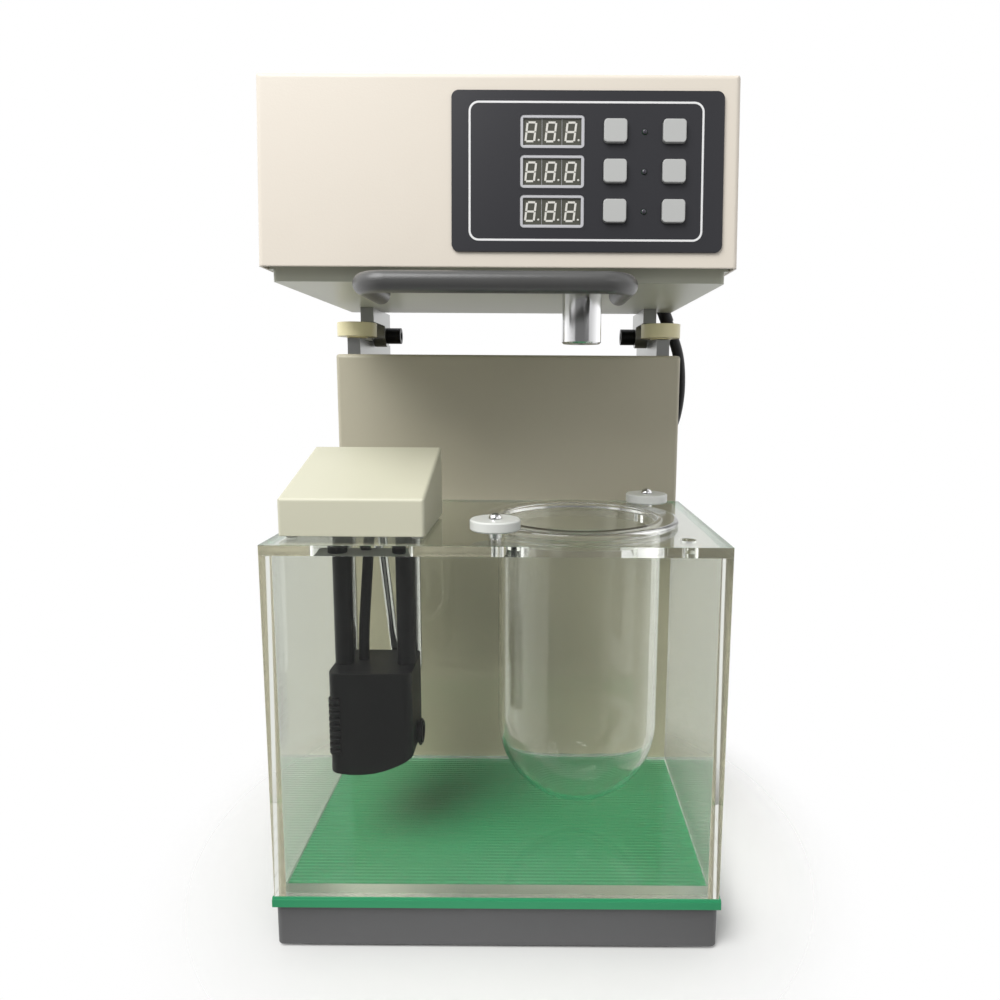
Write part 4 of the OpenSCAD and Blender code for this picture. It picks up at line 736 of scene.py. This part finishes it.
corners = [(x * FLOOR_HALF, y * FLOOR_HALF, 0) for x, y in ((-1, -1), (1, -1), (1, 1), (-1, 1))]
floor = new_mesh("floor", corners, [(0, 1, 2, 3)])
floor.data.materials.append(floor_finish())
print("floor fades from", FADE_FROM, "to", FADE_TO, "m")


def soft_lamp(name, azimuth, height, distance, size, power, target=(0, -0.05, 0.28)):
    """A square lamp seen from the target at these angles (degrees, left of the front is negative)."""
    a, e = math.radians(azimuth), math.radians(height)
    away = Vector((math.sin(a) * math.cos(e), -math.cos(a) * math.cos(e), math.sin(e)))
    data = bpy.data.lights.new(name, "AREA")
    data.size = size
    data.energy = power
    lamp = bpy.data.objects.new(name, data)
    scene.collection.objects.link(lamp)
    lamp.location = Vector(target) + distance * away
    lamp.rotation_euler = (-away).to_track_quat("-Z", "Y").to_euler()
    lamp.visible_transmission = False
    print(name, "gives a white facing sheet", round(power / (math.pi * distance) ** 2, 2))


soft_lamp("key lamp", azimuth=-40, height=50, distance=1.9, size=1.25, power=35)
soft_lamp("fill lamp", azimuth=35, height=25, distance=1.9, size=1.0, power=3)

# %% [markdown]
# The room is a world shader that answers by the kind of ray. A ray from the camera, or
# one that only passed through clear pieces, sees white. A mirrored one sees a wall that
# darkens towards the camera, with a bright window on either side, and the windows draw
# the upright lines on glass and steel. Light for paint is even, and the part of it that
# was bent on its way counts for a share only, because the clear pieces cast no shadow
# and let it in a second time.

# %% Room
ROOM_LIGHT = 0.35
ROOM_DARK = 0.2
BENT_SHARE = 0.5
SIDE_WINDOW = 0.55
WINDOW_FROM, WINDOW_TO = 0.62, 0.7
# Depths count whole bounces, so a half tells none from one.
ANY_BOUNCE = 0.5
world = bpy.data.worlds.new("white room")
scene.world = world
world.use_nodes = True
tree = world.node_tree
ray = add_node(tree, "ShaderNodeLightPath").outputs
aim = add_node(tree, "ShaderNodeSeparateXYZ", [
    (add_node(tree, "ShaderNodeTexCoord").outputs["Generated"], "Vector")])
wall = add_node(tree, "ShaderNodeMapRange", [(aim.outputs["Y"], "Value")], From_Min=-0.7, From_Max=0.3,
                To_Min=ROOM_DARK, To_Max=1.0)


def maths(operation, first, second):
    """A maths node on two sockets, or on a socket and a number."""
    node = add_node(tree, "ShaderNodeMath", settings={"operation": operation})
    for value, socket in zip((first, second), node.inputs):
        if isinstance(value, float):
            socket.default_value = value
        else:
            tree.links.new(value, socket)
    return node.outputs["Value"]


aside = maths("ABSOLUTE", aim.outputs["X"], 0.0)
window = add_node(tree, "ShaderNodeMapRange", [(aside, "Value")], From_Min=WINDOW_FROM,
                  From_Max=WINDOW_TO, To_Max=SIDE_WINDOW)
room = maths("ADD", wall.outputs["Result"], window.outputs["Result"])
straight = maths("MAXIMUM", ray["Is Camera Ray"], ray["Is Transmission Ray"])
looking = maths("MAXIMUM", straight, ray["Is Glossy Ray"])
before_paint = maths("LESS_THAN", ray["Diffuse Depth"], ANY_BOUNCE)
seen = maths("MULTIPLY", looking, before_paint)
mirrored = maths("GREATER_THAN", ray["Glossy Depth"], ANY_BOUNCE)
view = add_node(tree, "ShaderNodeMapRange", [(mirrored, "Value"), (room, "To Max")], To_Min=1.0)
light = add_node(tree, "ShaderNodeMapRange", [(ray["Is Transmission Ray"], "Value")], To_Min=ROOM_LIGHT,
                 To_Max=ROOM_LIGHT * BENT_SHARE)
strength = add_node(tree, "ShaderNodeMapRange", [(seen, "Value"), (light.outputs["Result"], "To Min"),
                                                 (view.outputs["Result"], "To Max")])
background = tree.nodes["Background"]
background.inputs["Color"].default_value = (1, 1, 1, 1)
tree.links.new(strength.outputs["Result"], background.inputs["Strength"])
print("room lights at", ROOM_LIGHT, "and mirrors from", ROOM_DARK, "to", 1 + SIDE_WINDOW)

# %% [markdown]
# Clear sheets one behind the other need more bounces than usual, and light that runs down
# inside the vessel's wall needs dozens, or it ends in black. The view transform stays
# plain, so a colour comes out as it was written.

# %% Light paths
ALL_BOUNCES, CLEAR_BOUNCES, SKIPPED_FACES = 80, 72, 32
scene.view_settings.view_transform = "Standard"
scene.cycles.max_bounces = ALL_BOUNCES
scene.cycles.glossy_bounces = CLEAR_BOUNCES
scene.cycles.transmission_bounces = CLEAR_BOUNCES
scene.cycles.transparent_max_bounces = SKIPPED_FACES
scene.cycles.caustics_reflective = False
print("bounces", scene.cycles.max_bounces)
